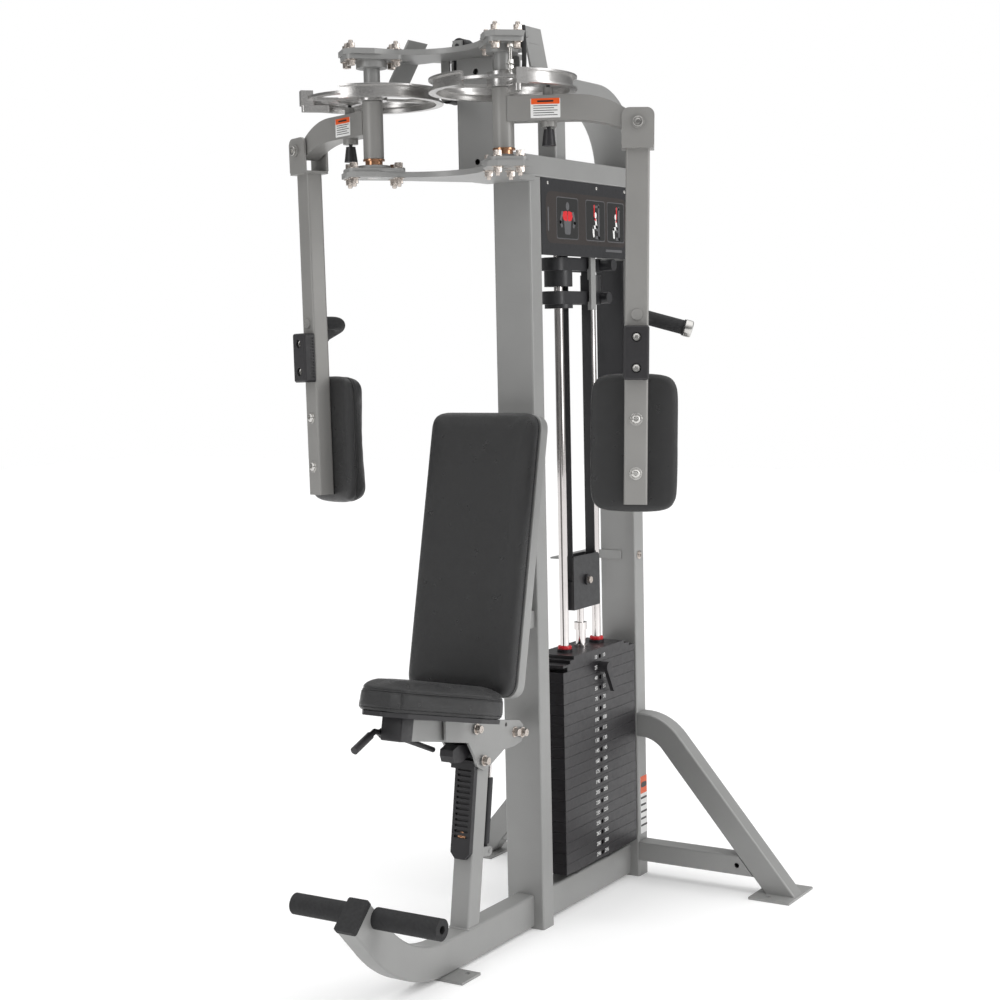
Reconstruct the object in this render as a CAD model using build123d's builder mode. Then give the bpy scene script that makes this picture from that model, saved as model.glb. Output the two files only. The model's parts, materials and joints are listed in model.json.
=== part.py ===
"""Pec deck machine: a weight tower, a head with two cams and swinging arms, and a sliding seat.

All sizes are in millimetres. Z is up from the floor, -Y is the seat side, X is across.
"""
import math
import os

from build123d import *

# ---- driving dimensions: frame tubes -------------------------------------------------
FRONT_Y = 78.0            # front face of the front upright
TUBE_W = 100.0            # upright width across X
TUBE_D = 50.0             # upright depth along Y, and the size of every 50 mm tube
WALL = 3.5
CORNER = 5.0              # outside corner radius of the tubes
TOWER_L = 540.0           # front face of the front upright to back face of the rear one
BEAM_TOP_Z0 = 1765.0      # underside of the top beam
BEAM_H = 50.0
BASE_Z0 = 6.0             # base beams stand on 6 mm foot plates
BASE_H = 76.0
REAR_Y1 = FRONT_Y + TOWER_L
REAR_Y0 = REAR_Y1 - TUBE_D
FRONT_Y1 = FRONT_Y + TUBE_D

# ---- driving dimensions: head --------------------------------------------------------
PIVOT_X = 168.0
PIVOT_Y = -225.0
COLUMN_Y0 = -68.0
COLUMN_Y1 = COLUMN_Y0 + TUBE_D
PLATE_T = 12.0
LOWER_PLATE_Z0 = BEAM_TOP_Z0 - PLATE_T
UPPER_PLATE_Z0 = 2017.0
BOOM_TOP_Z = 2007.0
BOOM_OUTER_R = 200.0
SHAFT_R = 15.0
RUN_GAP = 0.05            # radial clearance of a shaft in its bore
BODY_GAP = 0.5            # gap between faces of different moving bodies
FLANGE_T = 15.0
SLEEVE_R = 22.5
SLEEVE_Z0 = 1795.0
SLEEVE_Z1 = 1920.0

# ---- driving dimensions: cams and arms -----------------------------------------------
RIM_R = 156.0
RIM_GROOVE_R = 147.0
RIM_INNER_R = 140.0
RIM_Z0 = 1911.0
RIM_H = 29.0
RIM_FLANGE = 4.0
RIM_START_DEG = -41.0
RIM_SPAN_DEG = 308.0
WEB_Z0 = 1922.0
WEB_T = 6.0
ARM_DEG = 27.0            # how far the right arm points back from sideways at rest
LEFT_SWING_DEG = 5.0      # the left arm rests this much further forward
LOWER_ARM_LEAN = 1.2      # the lower arms hang this much inwards
ARM_W = 45.0
ARM_H = 52.0
ARM_Z0 = 1848.0
HINGE_R = 282.0           # pivot axis to yoke hinge
HINGE_Z = 1838.0
PIN_R = 95.0              # pivot axis to the start-position pin
LOWER_ARM_W = 50.0        # along the arm
LOWER_ARM_D = 40.0        # across the arm
LOWER_ARM_Z0 = 1040.0
YOKE_BASE_Z = 1785.0
HANDLE_Z = 1441.0

# ---- driving dimensions: weight stack ------------------------------------------------
STACK_Y = 368.0
PLATE_HALF_L = 182.0
PLATE_HALF_W = 53.0
PLATE_PITCH = 26.0
PLATE_THICK = 25.4
PLATE_ROWS = 20
ROW_1_Z = 611.0           # centre of the top row's pin hole
ROD_SPACING = 161.0
ROD_R = 11.0
STEM_R = 12.5
SELECTOR_R = 4.75
BLOCK_Z0 = 731.0
BLOCK_Z1 = 862.0
PULLEY_R = 54.0
BELT_W = 25.0
BELT_T = 3.0

# ---- driving dimensions: seat and back -----------------------------------------------
POST_LEAN = 8.8
POST_FOOT_Y = -213.5      # post front face where it meets the base beam
SEAT_TILT = 12.0
RACK_T = 14.0
RACK_PITCH = 12.5
PAD_LEAN = 12.3

# the parts are drawn about the tower, then shifted so the origin is the middle of the footprint
ORIGIN_SHIFT_Y = -15.8

os.makedirs("parts", exist_ok=True)


def save(part, name):
    """Shift a finished part to the shared origin, label it and write it to its own file."""
    placed = part.moved(Location((0, ORIGIN_SHIFT_Y, 0)))
    placed.label = name
    export_step(placed, f"parts/{name}.step")


def save_pair(part, name):
    """Write a part made for the +X side and its mirror image for the -X side."""
    save(part, f"right_{name}")
    save(part.mirror(Plane.YZ), f"left_{name}")


def save_swung(part, name):
    """Write a cam or arm part, and its mirror image swung about the -X pivot."""
    pivot = Axis((-PIVOT_X, PIVOT_Y, 0), (0, 0, 1))
    save(part, f"right_{name}")
    save(part.mirror(Plane.YZ).rotate(pivot, LEFT_SWING_DEG), f"left_{name}")


def slab(x, y, z, mode=Mode.ADD):
    """Box between two opposite corners, given as a (low, high) pair per axis."""
    centre = ((x[0] + x[1]) / 2, (y[0] + y[1]) / 2, (z[0] + z[1]) / 2)
    with Locations(centre):
        Box(x[1] - x[0], y[1] - y[0], z[1] - z[0], mode=mode)


def rod_x(centre, radius, length, mode=Mode.ADD):
    """Cylinder along X about a centre point."""
    with Locations(Location(centre, (0, 90, 0))):
        Cylinder(radius, length, mode=mode)


def rod_y(centre, radius, length, mode=Mode.ADD):
    """Cylinder along Y about a centre point."""
    with Locations(Location(centre, (90, 0, 0))):
        Cylinder(radius, length, mode=mode)


def rod_z(x, y, z0, z1, radius, mode=Mode.ADD):
    """Upright cylinder between two heights."""
    with Locations((x, y, (z0 + z1) / 2)):
        Cylinder(radius, z1 - z0, mode=mode)


def tube_section(plane, width, depth, wall=WALL):
    """Rounded rectangular tube profile on a plane."""
    with BuildSketch(plane) as profile:
        RectangleRounded(width, depth, CORNER)
        RectangleRounded(width - 2 * wall, depth - 2 * wall, CORNER - 2, mode=Mode.SUBTRACT)
    return profile.sketch


def straight_tube(start, direction, x_dir, width, depth, length, wall=WALL):
    """Hollow tube from a start point along a direction."""
    plane = Plane(origin=start, x_dir=x_dir, z_dir=direction)
    extrude(tube_section(plane, width, depth, wall), amount=length)


def outline(plane, points, amount, mode=Mode.ADD, both=False):
    """Extrude a closed polygon drawn on a plane."""
    with BuildSketch(plane) as shape:
        with BuildLine():
            Polyline(*points, close=True)
        make_face()
    extrude(shape.sketch, amount=amount, both=both, mode=mode)


def bent_path(start, corner, end, radius):
    """Two straight runs joined by an arc of the given radius."""
    start, corner, end = Vector(*start), Vector(*corner), Vector(*end)
    into = (start - corner).normalized()
    away = (end - corner).normalized()
    half = math.radians(into.get_angle(away)) / 2
    trim = radius / math.tan(half)
    middle = corner + (into + away).normalized() * (radius / math.sin(half) - radius)
    with BuildLine() as path:
        Line(start, corner + into * trim)
        ThreePointArc(corner + into * trim, middle, corner + away * trim)
        Line(corner + away * trim, end)
    return path.line


def arm_point(along, across, z):
    """Point on the +X arm: along it from the pivot axis, and across it towards the back."""
    angle = math.radians(ARM_DEG)
    x = PIVOT_X + along * math.cos(angle) - across * math.sin(angle)
    y = PIVOT_Y + along * math.sin(angle) + across * math.cos(angle)
    return (x, y, z)


ALONG = Vector(math.cos(math.radians(ARM_DEG)), math.sin(math.radians(ARM_DEG)), 0)
ACROSS = Vector(-math.sin(math.radians(ARM_DEG)), math.cos(math.radians(ARM_DEG)), 0)
ARM_SIDE = Plane(origin=arm_point(0, 0, 0), x_dir=ALONG, z_dir=-ACROSS)


def save_hung(part, name):
    """Write a part of the lower arm, leaning about the yoke hinge."""
    hinge = Axis(arm_point(HINGE_R, 0, HINGE_Z), ACROSS)
    save_swung(part.rotate(hinge, LOWER_ARM_LEAN), name)


def post_point(z, outward):
    """Y and Z of a point in front of the leaning seat post's front face at a height."""
    lean = math.radians(POST_LEAN)
    y = POST_FOOT_Y + (z - BASE_Z0 - BASE_H) * math.tan(lean)
    return (y - outward * math.cos(lean), z + outward * math.sin(lean))


POST_DIR = Vector(0, math.sin(math.radians(POST_LEAN)), math.cos(math.radians(POST_LEAN)))
POST_OUT = Vector(0, -math.cos(math.radians(POST_LEAN)), math.sin(math.radians(POST_LEAN)))
SEAT_BACKWARD = Vector(0, math.cos(math.radians(SEAT_TILT)), -math.sin(math.radians(SEAT_TILT)))
SEAT_UP = Vector(0, math.sin(math.radians(SEAT_TILT)), math.cos(math.radians(SEAT_TILT)))

# ======================================================================================
# Tower
# ======================================================================================
with BuildPart() as front_upright:
    straight_tube((0, FRONT_Y + TUBE_D / 2, 0), (0, 0, 1), (1, 0, 0), TUBE_W, TUBE_D, BEAM_TOP_Z0)
save(front_upright.part, "front_upright")

BOOM_ARC_Y = REAR_Y1 - BOOM_OUTER_R
BOOM_ARC_Z = BOOM_TOP_Z - BOOM_OUTER_R
with BuildPart() as rear_upright:
    straight_tube((0, REAR_Y0 + TUBE_D / 2, 0), (0, 0, 1), (1, 0, 0), TUBE_W, TUBE_D, BOOM_ARC_Z)
save(rear_upright.part, "rear_upright")

with BuildPart() as boom_bend:
    mid_r = BOOM_OUTER_R - TUBE_D / 2
    diagonal = mid_r * math.sqrt(0.5)
    with BuildLine() as bend_path:
        ThreePointArc(
            (0, BOOM_ARC_Y + mid_r, BOOM_ARC_Z),
            (0, BOOM_ARC_Y + diagonal, BOOM_ARC_Z + diagonal),
            (0, BOOM_ARC_Y, BOOM_ARC_Z + mid_r),
        )
    start = Plane(origin=(0, BOOM_ARC_Y + mid_r, BOOM_ARC_Z), x_dir=(1, 0, 0), z_dir=(0, 0, 1))
    sweep(tube_section(start, TUBE_W, TUBE_D), path=bend_path.line)
save(boom_bend.part, "boom_bend")

with BuildPart() as boom_tube:
    straight_tube(
        (0, COLUMN_Y1, BOOM_TOP_Z - TUBE_D / 2), (0, 1, 0), (1, 0, 0), TUBE_W, TUBE_D,
        BOOM_ARC_Y - COLUMN_Y1,
    )
save(boom_tube.part, "boom_tube")

STRAND_HALF = PULLEY_R + BELT_T / 2
WELD_GAP = 0.3
with BuildPart() as top_beam:
    straight_tube(
        (0, COLUMN_Y1, BEAM_TOP_Z0 + BEAM_H / 2), (0, 1, 0), (1, 0, 0), TUBE_W, BEAM_H,
        REAR_Y0 - WELD_GAP - COLUMN_Y1,
    )
    for strand_y in (STACK_Y - STRAND_HALF, STACK_Y + STRAND_HALF):
        slab((-18, 18), (strand_y - 6, strand_y + 6), (BEAM_TOP_Z0 - 1, BEAM_TOP_Z0 + 8), Mode.SUBTRACT)
save(top_beam.part, "top_beam")

STRUT_Y0 = 243.0
with BuildPart() as head_posts:
    straight_tube((0, COLUMN_Y0 + TUBE_D / 2, BEAM_TOP_Z0), (0, 0, 1), (1, 0, 0), TUBE_W, TUBE_D,
                  UPPER_PLATE_Z0 - BEAM_TOP_Z0)
    straight_tube((0, STRUT_Y0 + TUBE_D / 2, BEAM_TOP_Z0 + BEAM_H), (0, 0, 1), (1, 0, 0),
                  TUBE_D, TUBE_D, BOOM_TOP_Z - TUBE_D - BEAM_TOP_Z0 - BEAM_H)
    for hole_z in (1789, 1946, 1987):
        rod_y((2, COLUMN_Y0 + 2, hole_z), 6.5, 12, Mode.SUBTRACT)
save(head_posts.part, "head_posts")

# ======================================================================================
# Base: centre beams, footrest, stabilisers
# ======================================================================================
BASE_MID_Z = BASE_Z0 + BASE_H / 2
FOOT_PLATE_T = BASE_Z0
FOOTREST_START_Y = -295.0
with BuildPart() as base_beam:
    straight_tube((0, FOOTREST_START_Y, BASE_MID_Z), (0, 1, 0), (1, 0, 0), TUBE_D, BASE_H,
                  FRONT_Y - FOOTREST_START_Y)
    straight_tube((0, FRONT_Y1, BASE_MID_Z), (0, 1, 0), (1, 0, 0), TUBE_D, BASE_H, REAR_Y0 - FRONT_Y1)
    slab((-80, 80), (-325, -250), (0, FOOT_PLATE_T))
    for side in (-1, 1):
        rod_z(side * 57, -268, -1, FOOT_PLATE_T + 1, 6.5, Mode.SUBTRACT)
save(base_beam.part, "base_beam")

FOOTREST_BEND_R = 335.0
FOOTREST_RISE = 47.0
rise = math.radians(FOOTREST_RISE)
BEND_END_Y = FOOTREST_START_Y - FOOTREST_BEND_R * math.sin(rise)
BEND_END_Z = BASE_MID_Z + FOOTREST_BEND_R * (1 - math.cos(rise))
FOOTREST_UP = Vector(0, -math.cos(rise), math.sin(rise))
FOOTREST_TIP = Vector(0, BEND_END_Y, BEND_END_Z) + FOOTREST_UP * 92
FOOTREST_BAR_Y = -556.0
FOOTREST_BAR_Z = 208.0
FOOTREST_GRIP_R = 23.0
with BuildPart() as footrest_tube:
    with BuildLine() as footrest_path:
        ThreePointArc(
            (0, FOOTREST_START_Y, BASE_MID_Z),
            (0, FOOTREST_START_Y - FOOTREST_BEND_R * math.sin(rise / 2),
             BASE_MID_Z + FOOTREST_BEND_R * (1 - math.cos(rise / 2))),
            (0, BEND_END_Y, BEND_END_Z),
        )
        Line((0, BEND_END_Y, BEND_END_Z), tuple(FOOTREST_TIP))
    start = Plane(origin=(0, FOOTREST_START_Y, BASE_MID_Z), x_dir=(1, 0, 0), z_dir=(0, -1, 0))
    sweep(tube_section(start, TUBE_D, BASE_H), path=footrest_path.line)
    rod_x((0, FOOTREST_BAR_Y, FOOTREST_BAR_Z), 12.7, TUBE_D + 2, Mode.SUBTRACT)
save(footrest_tube.part, "footrest_tube")

with BuildPart() as footrest_bar:
    rod_x((0, FOOTREST_BAR_Y, FOOTREST_BAR_Z), 12.7, 374)
    for side in (-1, 1):
        rod_x((side * 106, FOOTREST_BAR_Y, FOOTREST_BAR_Z), FOOTREST_GRIP_R, 162)
        rod_x((side * 175, FOOTREST_BAR_Y, FOOTREST_BAR_Z), 9, 30, Mode.SUBTRACT)
    cap_plane = Plane(origin=FOOTREST_TIP, x_dir=(1, 0, 0), z_dir=FOOTREST_UP)
    with BuildSketch(cap_plane) as cap_face:
        RectangleRounded(TUBE_D + 2, BASE_H + 2, CORNER)
    extrude(cap_face.sketch, amount=12)
save(footrest_bar.part, "footrest_bar")

LEG_X = TUBE_W / 2
LEG_TOP_Z = 400.0
LEG_H = 62.0              # leg tube depth in the plane of the bend
LEG_SLOPE = 50.0
slope = math.radians(LEG_SLOPE)
LEG_BEND_R = 110.0
with BuildPart() as stabiliser_leg:
    corner_x = 110.0
    corner = (corner_x, REAR_Y0 + TUBE_D / 2, LEG_TOP_Z)
    run = (LEG_TOP_Z + 20) / math.sin(slope)
    foot = (corner_x + run * math.cos(slope), REAR_Y0 + TUBE_D / 2, LEG_TOP_Z - run * math.sin(slope))
    path = bent_path((LEG_X, REAR_Y0 + TUBE_D / 2, LEG_TOP_Z), corner, foot, LEG_BEND_R)
    start = Plane(origin=(LEG_X, REAR_Y0 + TUBE_D / 2, LEG_TOP_Z), x_dir=(0, 1, 0), z_dir=(1, 0, 0))
    sweep(tube_section(start, TUBE_D, LEG_H), path=path)
    slab((300, 600), (REAR_Y0 - 60, REAR_Y1 + 60), (-80, FOOT_PLATE_T), Mode.SUBTRACT)
    slab((376, 484), (522, 676), (0, FOOT_PLATE_T))
    for hole_y in (548, 648):
        rod_z(418, hole_y, -1, FOOT_PLATE_T + 1, 6.5, Mode.SUBTRACT)
with BuildPart() as stabiliser_legs:
    add(stabiliser_leg.part)
    add(stabiliser_leg.part.mirror(Plane.YZ))
save(stabiliser_legs.part, "stabiliser_legs")

BRACE_Z = 67.0
with BuildPart() as rear_brace:
    straight_tube((LEG_X, REAR_Y0 + TUBE_D / 2, BRACE_Z), (1, 0, 0), (0, 1, 0), TUBE_D, TUBE_D, 380)
    leg_cut = Plane(origin=corner, x_dir=(0, 1, 0), z_dir=(math.sin(slope), 0, math.cos(slope)))
    with BuildSketch(leg_cut.offset(-LEG_H / 2)) as beyond:
        Rectangle(400, 1400)
    extrude(beyond.sketch, amount=400, mode=Mode.SUBTRACT)
    rod_y((325, REAR_Y0, BRACE_Z), 6.5, 20, Mode.SUBTRACT)
with BuildPart() as rear_braces:
    add(rear_brace.part)
    add(rear_brace.part.mirror(Plane.YZ))
save(rear_braces.part, "rear_braces")

# ======================================================================================
# Head: plates, bearings, shafts, belt rollers
# ======================================================================================
WING_END = 68.0           # how far the wings reach beyond the pivot
WING_HALF_W = 46.0
BAY_Y = -306.0
BAY_R = 144.0
FLANGE_L = 128.0
FLANGE_W = 80.0
FLANGE_BOLT_ALONG = 50.0
FLANGE_BOLT_ACROSS = 24.0
wing_rise = PIVOT_Y - COLUMN_Y0 - TUBE_D / 2
WING_ALONG = Vector(PIVOT_X, wing_rise).normalized()


def wing_point(along, across, side=1):
    """Point of a wing: along it from the pivot axis, and across it outwards."""
    x = PIVOT_X + along * WING_ALONG.X - across * WING_ALONG.Y
    y = PIVOT_Y + along * WING_ALONG.Y + across * WING_ALONG.X
    return (side * x, y)


def flange_holes(z0, z1):
    """Bolt holes of both bearing flanges."""
    for side in (-1, 1):
        for along in (-FLANGE_BOLT_ALONG, FLANGE_BOLT_ALONG):
            for across in (-FLANGE_BOLT_ACROSS, FLANGE_BOLT_ACROSS):
                x, y = wing_point(along, across, side)
                rod_z(x, y, z0 - 1, z1 + 1, 5, Mode.SUBTRACT)


def bearing_flange(z0, height):
    """Rounded flange along each wing."""
    for side in (-1, 1):
        turned = Plane(origin=(side * PIVOT_X, PIVOT_Y, z0), x_dir=(side * WING_ALONG.X, WING_ALONG.Y, 0),
                       z_dir=(0, 0, 1))
        with BuildSketch(turned) as flange_face:
            RectangleRounded(FLANGE_L, FLANGE_W, 14)
        extrude(flange_face.sketch, amount=height)


def wing_plate(z0, back_y):
    """Plate with a wing to each pivot, and a rounded bay at the front."""
    tip = [(-40, WING_HALF_W), (WING_END - 18, WING_HALF_W), (WING_END, WING_HALF_W - 18),
           (WING_END, 18 - WING_HALF_W), (WING_END - 18, -WING_HALF_W), (-30, -WING_HALF_W)]
    half = [(64, back_y), (64, 10)] + [wing_point(along, across) for along, across in tip]
    mirrored = [(-x, y) for x, y in reversed(half)]
    outline(Plane.XY.offset(z0), half + mirrored, PLATE_T)
    rod_z(0, BAY_Y, z0 - 1, z0 + PLATE_T + 1, BAY_R, Mode.SUBTRACT)
    for side in (-1, 1):
        rod_z(side * PIVOT_X, PIVOT_Y, z0 - 1, z0 + PLATE_T + 1, SHAFT_R, Mode.SUBTRACT)
    flange_holes(z0, z0 + PLATE_T)


with BuildPart() as head_lower_plate:
    wing_plate(LOWER_PLATE_Z0, FRONT_Y)
save(head_lower_plate.part, "head_lower_plate")

ROLLER_R = 15.0
ROLLER_Y = -43.0
ROLLER_TOP = (46.0, ROLLER_Y, 2048.0)
STRAND_X = ROLLER_TOP[0] + ROLLER_R + BELT_T / 2
ROLLER_LOW = (STRAND_X + BELT_T / 2 + ROLLER_R, ROLLER_Y, 1942.0)
GUARD_LEAN = math.radians(20.4)
GUARD_HALF_W = 36.0
GUARD_HALF_H = 50.0
GUARD_SKEW = 15.0
with BuildPart() as head_upper_plate:
    wing_plate(UPPER_PLATE_Z0, 30)
    for side in (-1, 1):
        slot_x = (side * STRAND_X - 6, side * STRAND_X + 6)
        slab(slot_x, (-60, -26), (UPPER_PLATE_Z0 - 1, UPPER_PLATE_Z0 + PLATE_T + 1), Mode.SUBTRACT)
        inner_x = (side * 30 - 5, side * 30 + 5)
        slab(inner_x, (-60, -26), (UPPER_PLATE_Z0 - 1, UPPER_PLATE_Z0 + PLATE_T + 1), Mode.SUBTRACT)
        tab_x = sorted((side * 108, side * 166))
        slab(tab_x, (-108, -64), (UPPER_PLATE_Z0, UPPER_PLATE_Z0 + PLATE_T))
        lean_plane = Plane(origin=(side * 166, -85, UPPER_PLATE_Z0 + 2.5), x_dir=(0, 1, 0),
                           z_dir=(math.cos(GUARD_LEAN), 0, side * math.sin(GUARD_LEAN)))
        guard = [(GUARD_SKEW - GUARD_HALF_W, GUARD_HALF_H), (GUARD_SKEW + GUARD_HALF_W, GUARD_HALF_H),
                 (GUARD_HALF_W - GUARD_SKEW, -GUARD_HALF_H), (-GUARD_HALF_W - GUARD_SKEW, -GUARD_HALF_H)]
        outline(lean_plane, guard, 2.5, both=True)
    for ear_y in (ROLLER_Y - 21, ROLLER_Y + 21):
        for side in (-1, 1):
            ear_x = (side * ROLLER_TOP[0] - 12, side * ROLLER_TOP[0] + 12)
            slab(ear_x, (ear_y - 2.5, ear_y + 2.5), (UPPER_PLATE_Z0 + PLATE_T, ROLLER_TOP[2] + 12))
            rod_y((side * ROLLER_TOP[0], ear_y, ROLLER_TOP[2]), 5 + RUN_GAP, 8, Mode.SUBTRACT)
            low_x = (side * ROLLER_LOW[0] - 11, side * ROLLER_LOW[0] + 11)
            slab(low_x, (ear_y - 2.5, ear_y + 2.5), (ROLLER_LOW[2] - 12, UPPER_PLATE_Z0))
            rod_y((side * ROLLER_LOW[0], ear_y, ROLLER_LOW[2]), 5 + RUN_GAP, 8, Mode.SUBTRACT)
save(head_upper_plate.part, "head_upper_plate")


def belt_roller(centre, radius, width, axle_r, axle_length):
    """Flanged belt roller with its axle along Y."""
    rod_y(centre, radius, width)
    for end in (-1, 1):
        flange = (centre[0], centre[1] + end * (width / 2 - 1.5), centre[2])
        rod_y(flange, radius + 3, 3)
    rod_y(centre, axle_r, axle_length)


with BuildPart() as top_roller:
    belt_roller(ROLLER_TOP, ROLLER_R, 34, 5, 50)
save_pair(top_roller.part, "top_roller")

with BuildPart() as low_roller:
    belt_roller(ROLLER_LOW, ROLLER_R, 34, 5, 50)
save_pair(low_roller.part, "low_roller")

UPPER_BUSH_Z0 = 1955.0
with BuildPart() as head_bearings:
    bearing_flange(BEAM_TOP_Z0, 8)
    bearing_flange(UPPER_PLATE_Z0 - 10, 10)
    for side in (-1, 1):
        x = side * PIVOT_X
        rod_z(x, PIVOT_Y, BEAM_TOP_Z0 + 8, BEAM_TOP_Z0 + FLANGE_T, 36)
        rod_z(x, PIVOT_Y, UPPER_PLATE_Z0 - 26, UPPER_PLATE_Z0 - 10, 34)
        rod_z(x, PIVOT_Y, UPPER_BUSH_Z0, UPPER_PLATE_Z0 - 26, 18)
        for z0, z1 in ((BEAM_TOP_Z0, BEAM_TOP_Z0 + FLANGE_T), (UPPER_BUSH_Z0, UPPER_PLATE_Z0)):
            rod_z(x, PIVOT_Y, z0 - 1, z1 + 1, SHAFT_R, Mode.SUBTRACT)
    flange_holes(BEAM_TOP_Z0, BEAM_TOP_Z0 + FLANGE_T)
    flange_holes(UPPER_PLATE_Z0 - 26, UPPER_PLATE_Z0)
save(head_bearings.part, "head_bearings")

with BuildPart() as pivot_shafts:
    for side in (-1, 1):
        rod_z(side * PIVOT_X, PIVOT_Y, LOWER_PLATE_Z0, UPPER_PLATE_Z0 + PLATE_T, SHAFT_R)
save(pivot_shafts.part, "pivot_shafts")

with BuildPart() as pivot_bushes:
    for side in (-1, 1):
        x = side * PIVOT_X
        rod_z(x, PIVOT_Y, BEAM_TOP_Z0 + FLANGE_T, SLEEVE_Z0 - BODY_GAP, 19)
        rod_z(x, PIVOT_Y, SLEEVE_Z0 - BODY_GAP - 4, SLEEVE_Z0 - BODY_GAP, 24)
        rod_z(x, PIVOT_Y, BEAM_TOP_Z0, UPPER_PLATE_Z0, SHAFT_R, Mode.SUBTRACT)
save(pivot_bushes.part, "pivot_bushes")

# ======================================================================================
# Cams and arms, built for the +X side
# ======================================================================================
SECTOR_FROM = -42.0
SECTOR_TO = 36.0
PIN_STEP = 7.5
PIN_HOLES = 7
PIN_SHAFT_R = 4.0


def ring_sector(radius_in, radius_out, start_deg, span_deg, z0, height, mode=Mode.ADD):
    """Solid part of a ring about the +X pivot axis."""
    with BuildSketch(Plane(origin=(PIVOT_X, PIVOT_Y, z0))) as flat:
        with BuildLine():
            outer = CenterArc((0, 0), radius_out, start_deg, span_deg)
            inner = CenterArc((0, 0), radius_in, start_deg, span_deg)
            Line(outer @ 0, inner @ 0)
            Line(outer @ 1, inner @ 1)
        make_face()
    extrude(flat.sketch, amount=height, mode=mode)


with BuildPart() as cam:
    ring_sector(RIM_INNER_R, RIM_GROOVE_R, RIM_START_DEG, RIM_SPAN_DEG, RIM_Z0, RIM_H)
    for flange_z in (RIM_Z0, RIM_Z0 + RIM_H - RIM_FLANGE):
        ring_sector(RIM_GROOVE_R - 1, RIM_R, RIM_START_DEG, RIM_SPAN_DEG, flange_z, RIM_FLANGE)
    rod_z(PIVOT_X, PIVOT_Y, WEB_Z0, WEB_Z0 + WEB_T, RIM_GROOVE_R)
    rod_z(PIVOT_X, PIVOT_Y, WEB_Z0 - 1, WEB_Z0 + WEB_T + 1, 128, Mode.SUBTRACT)
    ring_sector(76, 113, SECTOR_FROM, SECTOR_TO - SECTOR_FROM, WEB_Z0, WEB_T)
    for spoke_deg in (SECTOR_FROM + 4, SECTOR_TO - 4, 125, 215):
        ring_sector(20, 132, spoke_deg - 5, 10, WEB_Z0, WEB_T)
    rod_z(PIVOT_X, PIVOT_Y, SLEEVE_Z1 + BODY_GAP, 1952, 33)
    rod_z(PIVOT_X, PIVOT_Y, SLEEVE_Z1 - 5, 1960, SHAFT_R + RUN_GAP, Mode.SUBTRACT)
    for index in range(PIN_HOLES):
        angle = math.radians(ARM_DEG - PIN_STEP * index)
        x = PIVOT_X + PIN_R * math.cos(angle)
        y = PIVOT_Y + PIN_R * math.sin(angle)
        rod_z(x, y, WEB_Z0 - 1, WEB_Z0 + WEB_T + 1, PIN_SHAFT_R + 0.4, Mode.SUBTRACT)
    block_plane = Plane(origin=(PIVOT_X, PIVOT_Y, RIM_Z0 - 3), x_dir=(
        math.cos(math.radians(RIM_START_DEG)), math.sin(math.radians(RIM_START_DEG)), 0),
        z_dir=(0, 0, 1))
    with BuildSketch(block_plane) as anchor_face:
        with Locations((147, -9)):
            Rectangle(27, 24)
    extrude(anchor_face.sketch, amount=32)
    with BuildSketch(block_plane.offset(-14)) as tension_face:
        with Locations((128, -16)):
            RectangleRounded(62, 14, 6)
    extrude(tension_face.sketch, amount=14)
save_swung(cam.part, "cam")

with BuildPart() as arm:
    rod_z(PIVOT_X, PIVOT_Y, SLEEVE_Z0, SLEEVE_Z1, SLEEVE_R)
    with BuildSketch(ARM_SIDE) as arm_profile:
        with BuildLine():
            top = Line((10, ARM_Z0 + ARM_H), (150, ARM_Z0 + ARM_H))
            TangentArc(top @ 1, (HINGE_R - 8, HINGE_Z + 17), tangent=top % 1)
            Line((HINGE_R - 8, HINGE_Z + 17), (HINGE_R - 12, HINGE_Z - 19))
            low = Line((10, ARM_Z0), (142, ARM_Z0))
            TangentArc(low @ 1, (HINGE_R - 12, HINGE_Z - 19), tangent=low % 1)
            Line((10, ARM_Z0), (10, ARM_Z0 + ARM_H))
        make_face()
    extrude(arm_profile.sketch, amount=ARM_W / 2, both=True)
    barrel = Plane(origin=arm_point(HINGE_R, 0, HINGE_Z), x_dir=ALONG, z_dir=ACROSS)
    with BuildSketch(barrel) as barrel_face:
        Circle(20)
    extrude(barrel_face.sketch, amount=25, both=True)
    pin_x, pin_y, _ = arm_point(PIN_R, 0, 0)
    rod_z(pin_x, pin_y, ARM_Z0 - 12, ARM_Z0, 17)
    rod_z(pin_x, pin_y, ARM_Z0 + ARM_H, WEB_Z0 - 5, 11)
    rod_z(pin_x, pin_y, ARM_Z0 - 20, WEB_Z0 + 10, PIN_SHAFT_R + RUN_GAP, Mode.SUBTRACT)
    with BuildSketch(barrel) as barrel_bore:
        Circle(8 + RUN_GAP)
    extrude(barrel_bore.sketch, amount=40, both=True, mode=Mode.SUBTRACT)
    rod_z(PIVOT_X, PIVOT_Y, SLEEVE_Z0 - 5, SLEEVE_Z1 + 5, SHAFT_R + RUN_GAP, Mode.SUBTRACT)
save_swung(arm.part, "arm")

with BuildPart() as pull_pin:
    rod_z(pin_x, pin_y, 1826, WEB_Z0 + WEB_T + 2, PIN_SHAFT_R)
    with Locations((pin_x, pin_y, (1797 + 1831) / 2)):
        Cone(15, 10.5, 34)
save_swung(pull_pin.part, "pull_pin")

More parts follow.
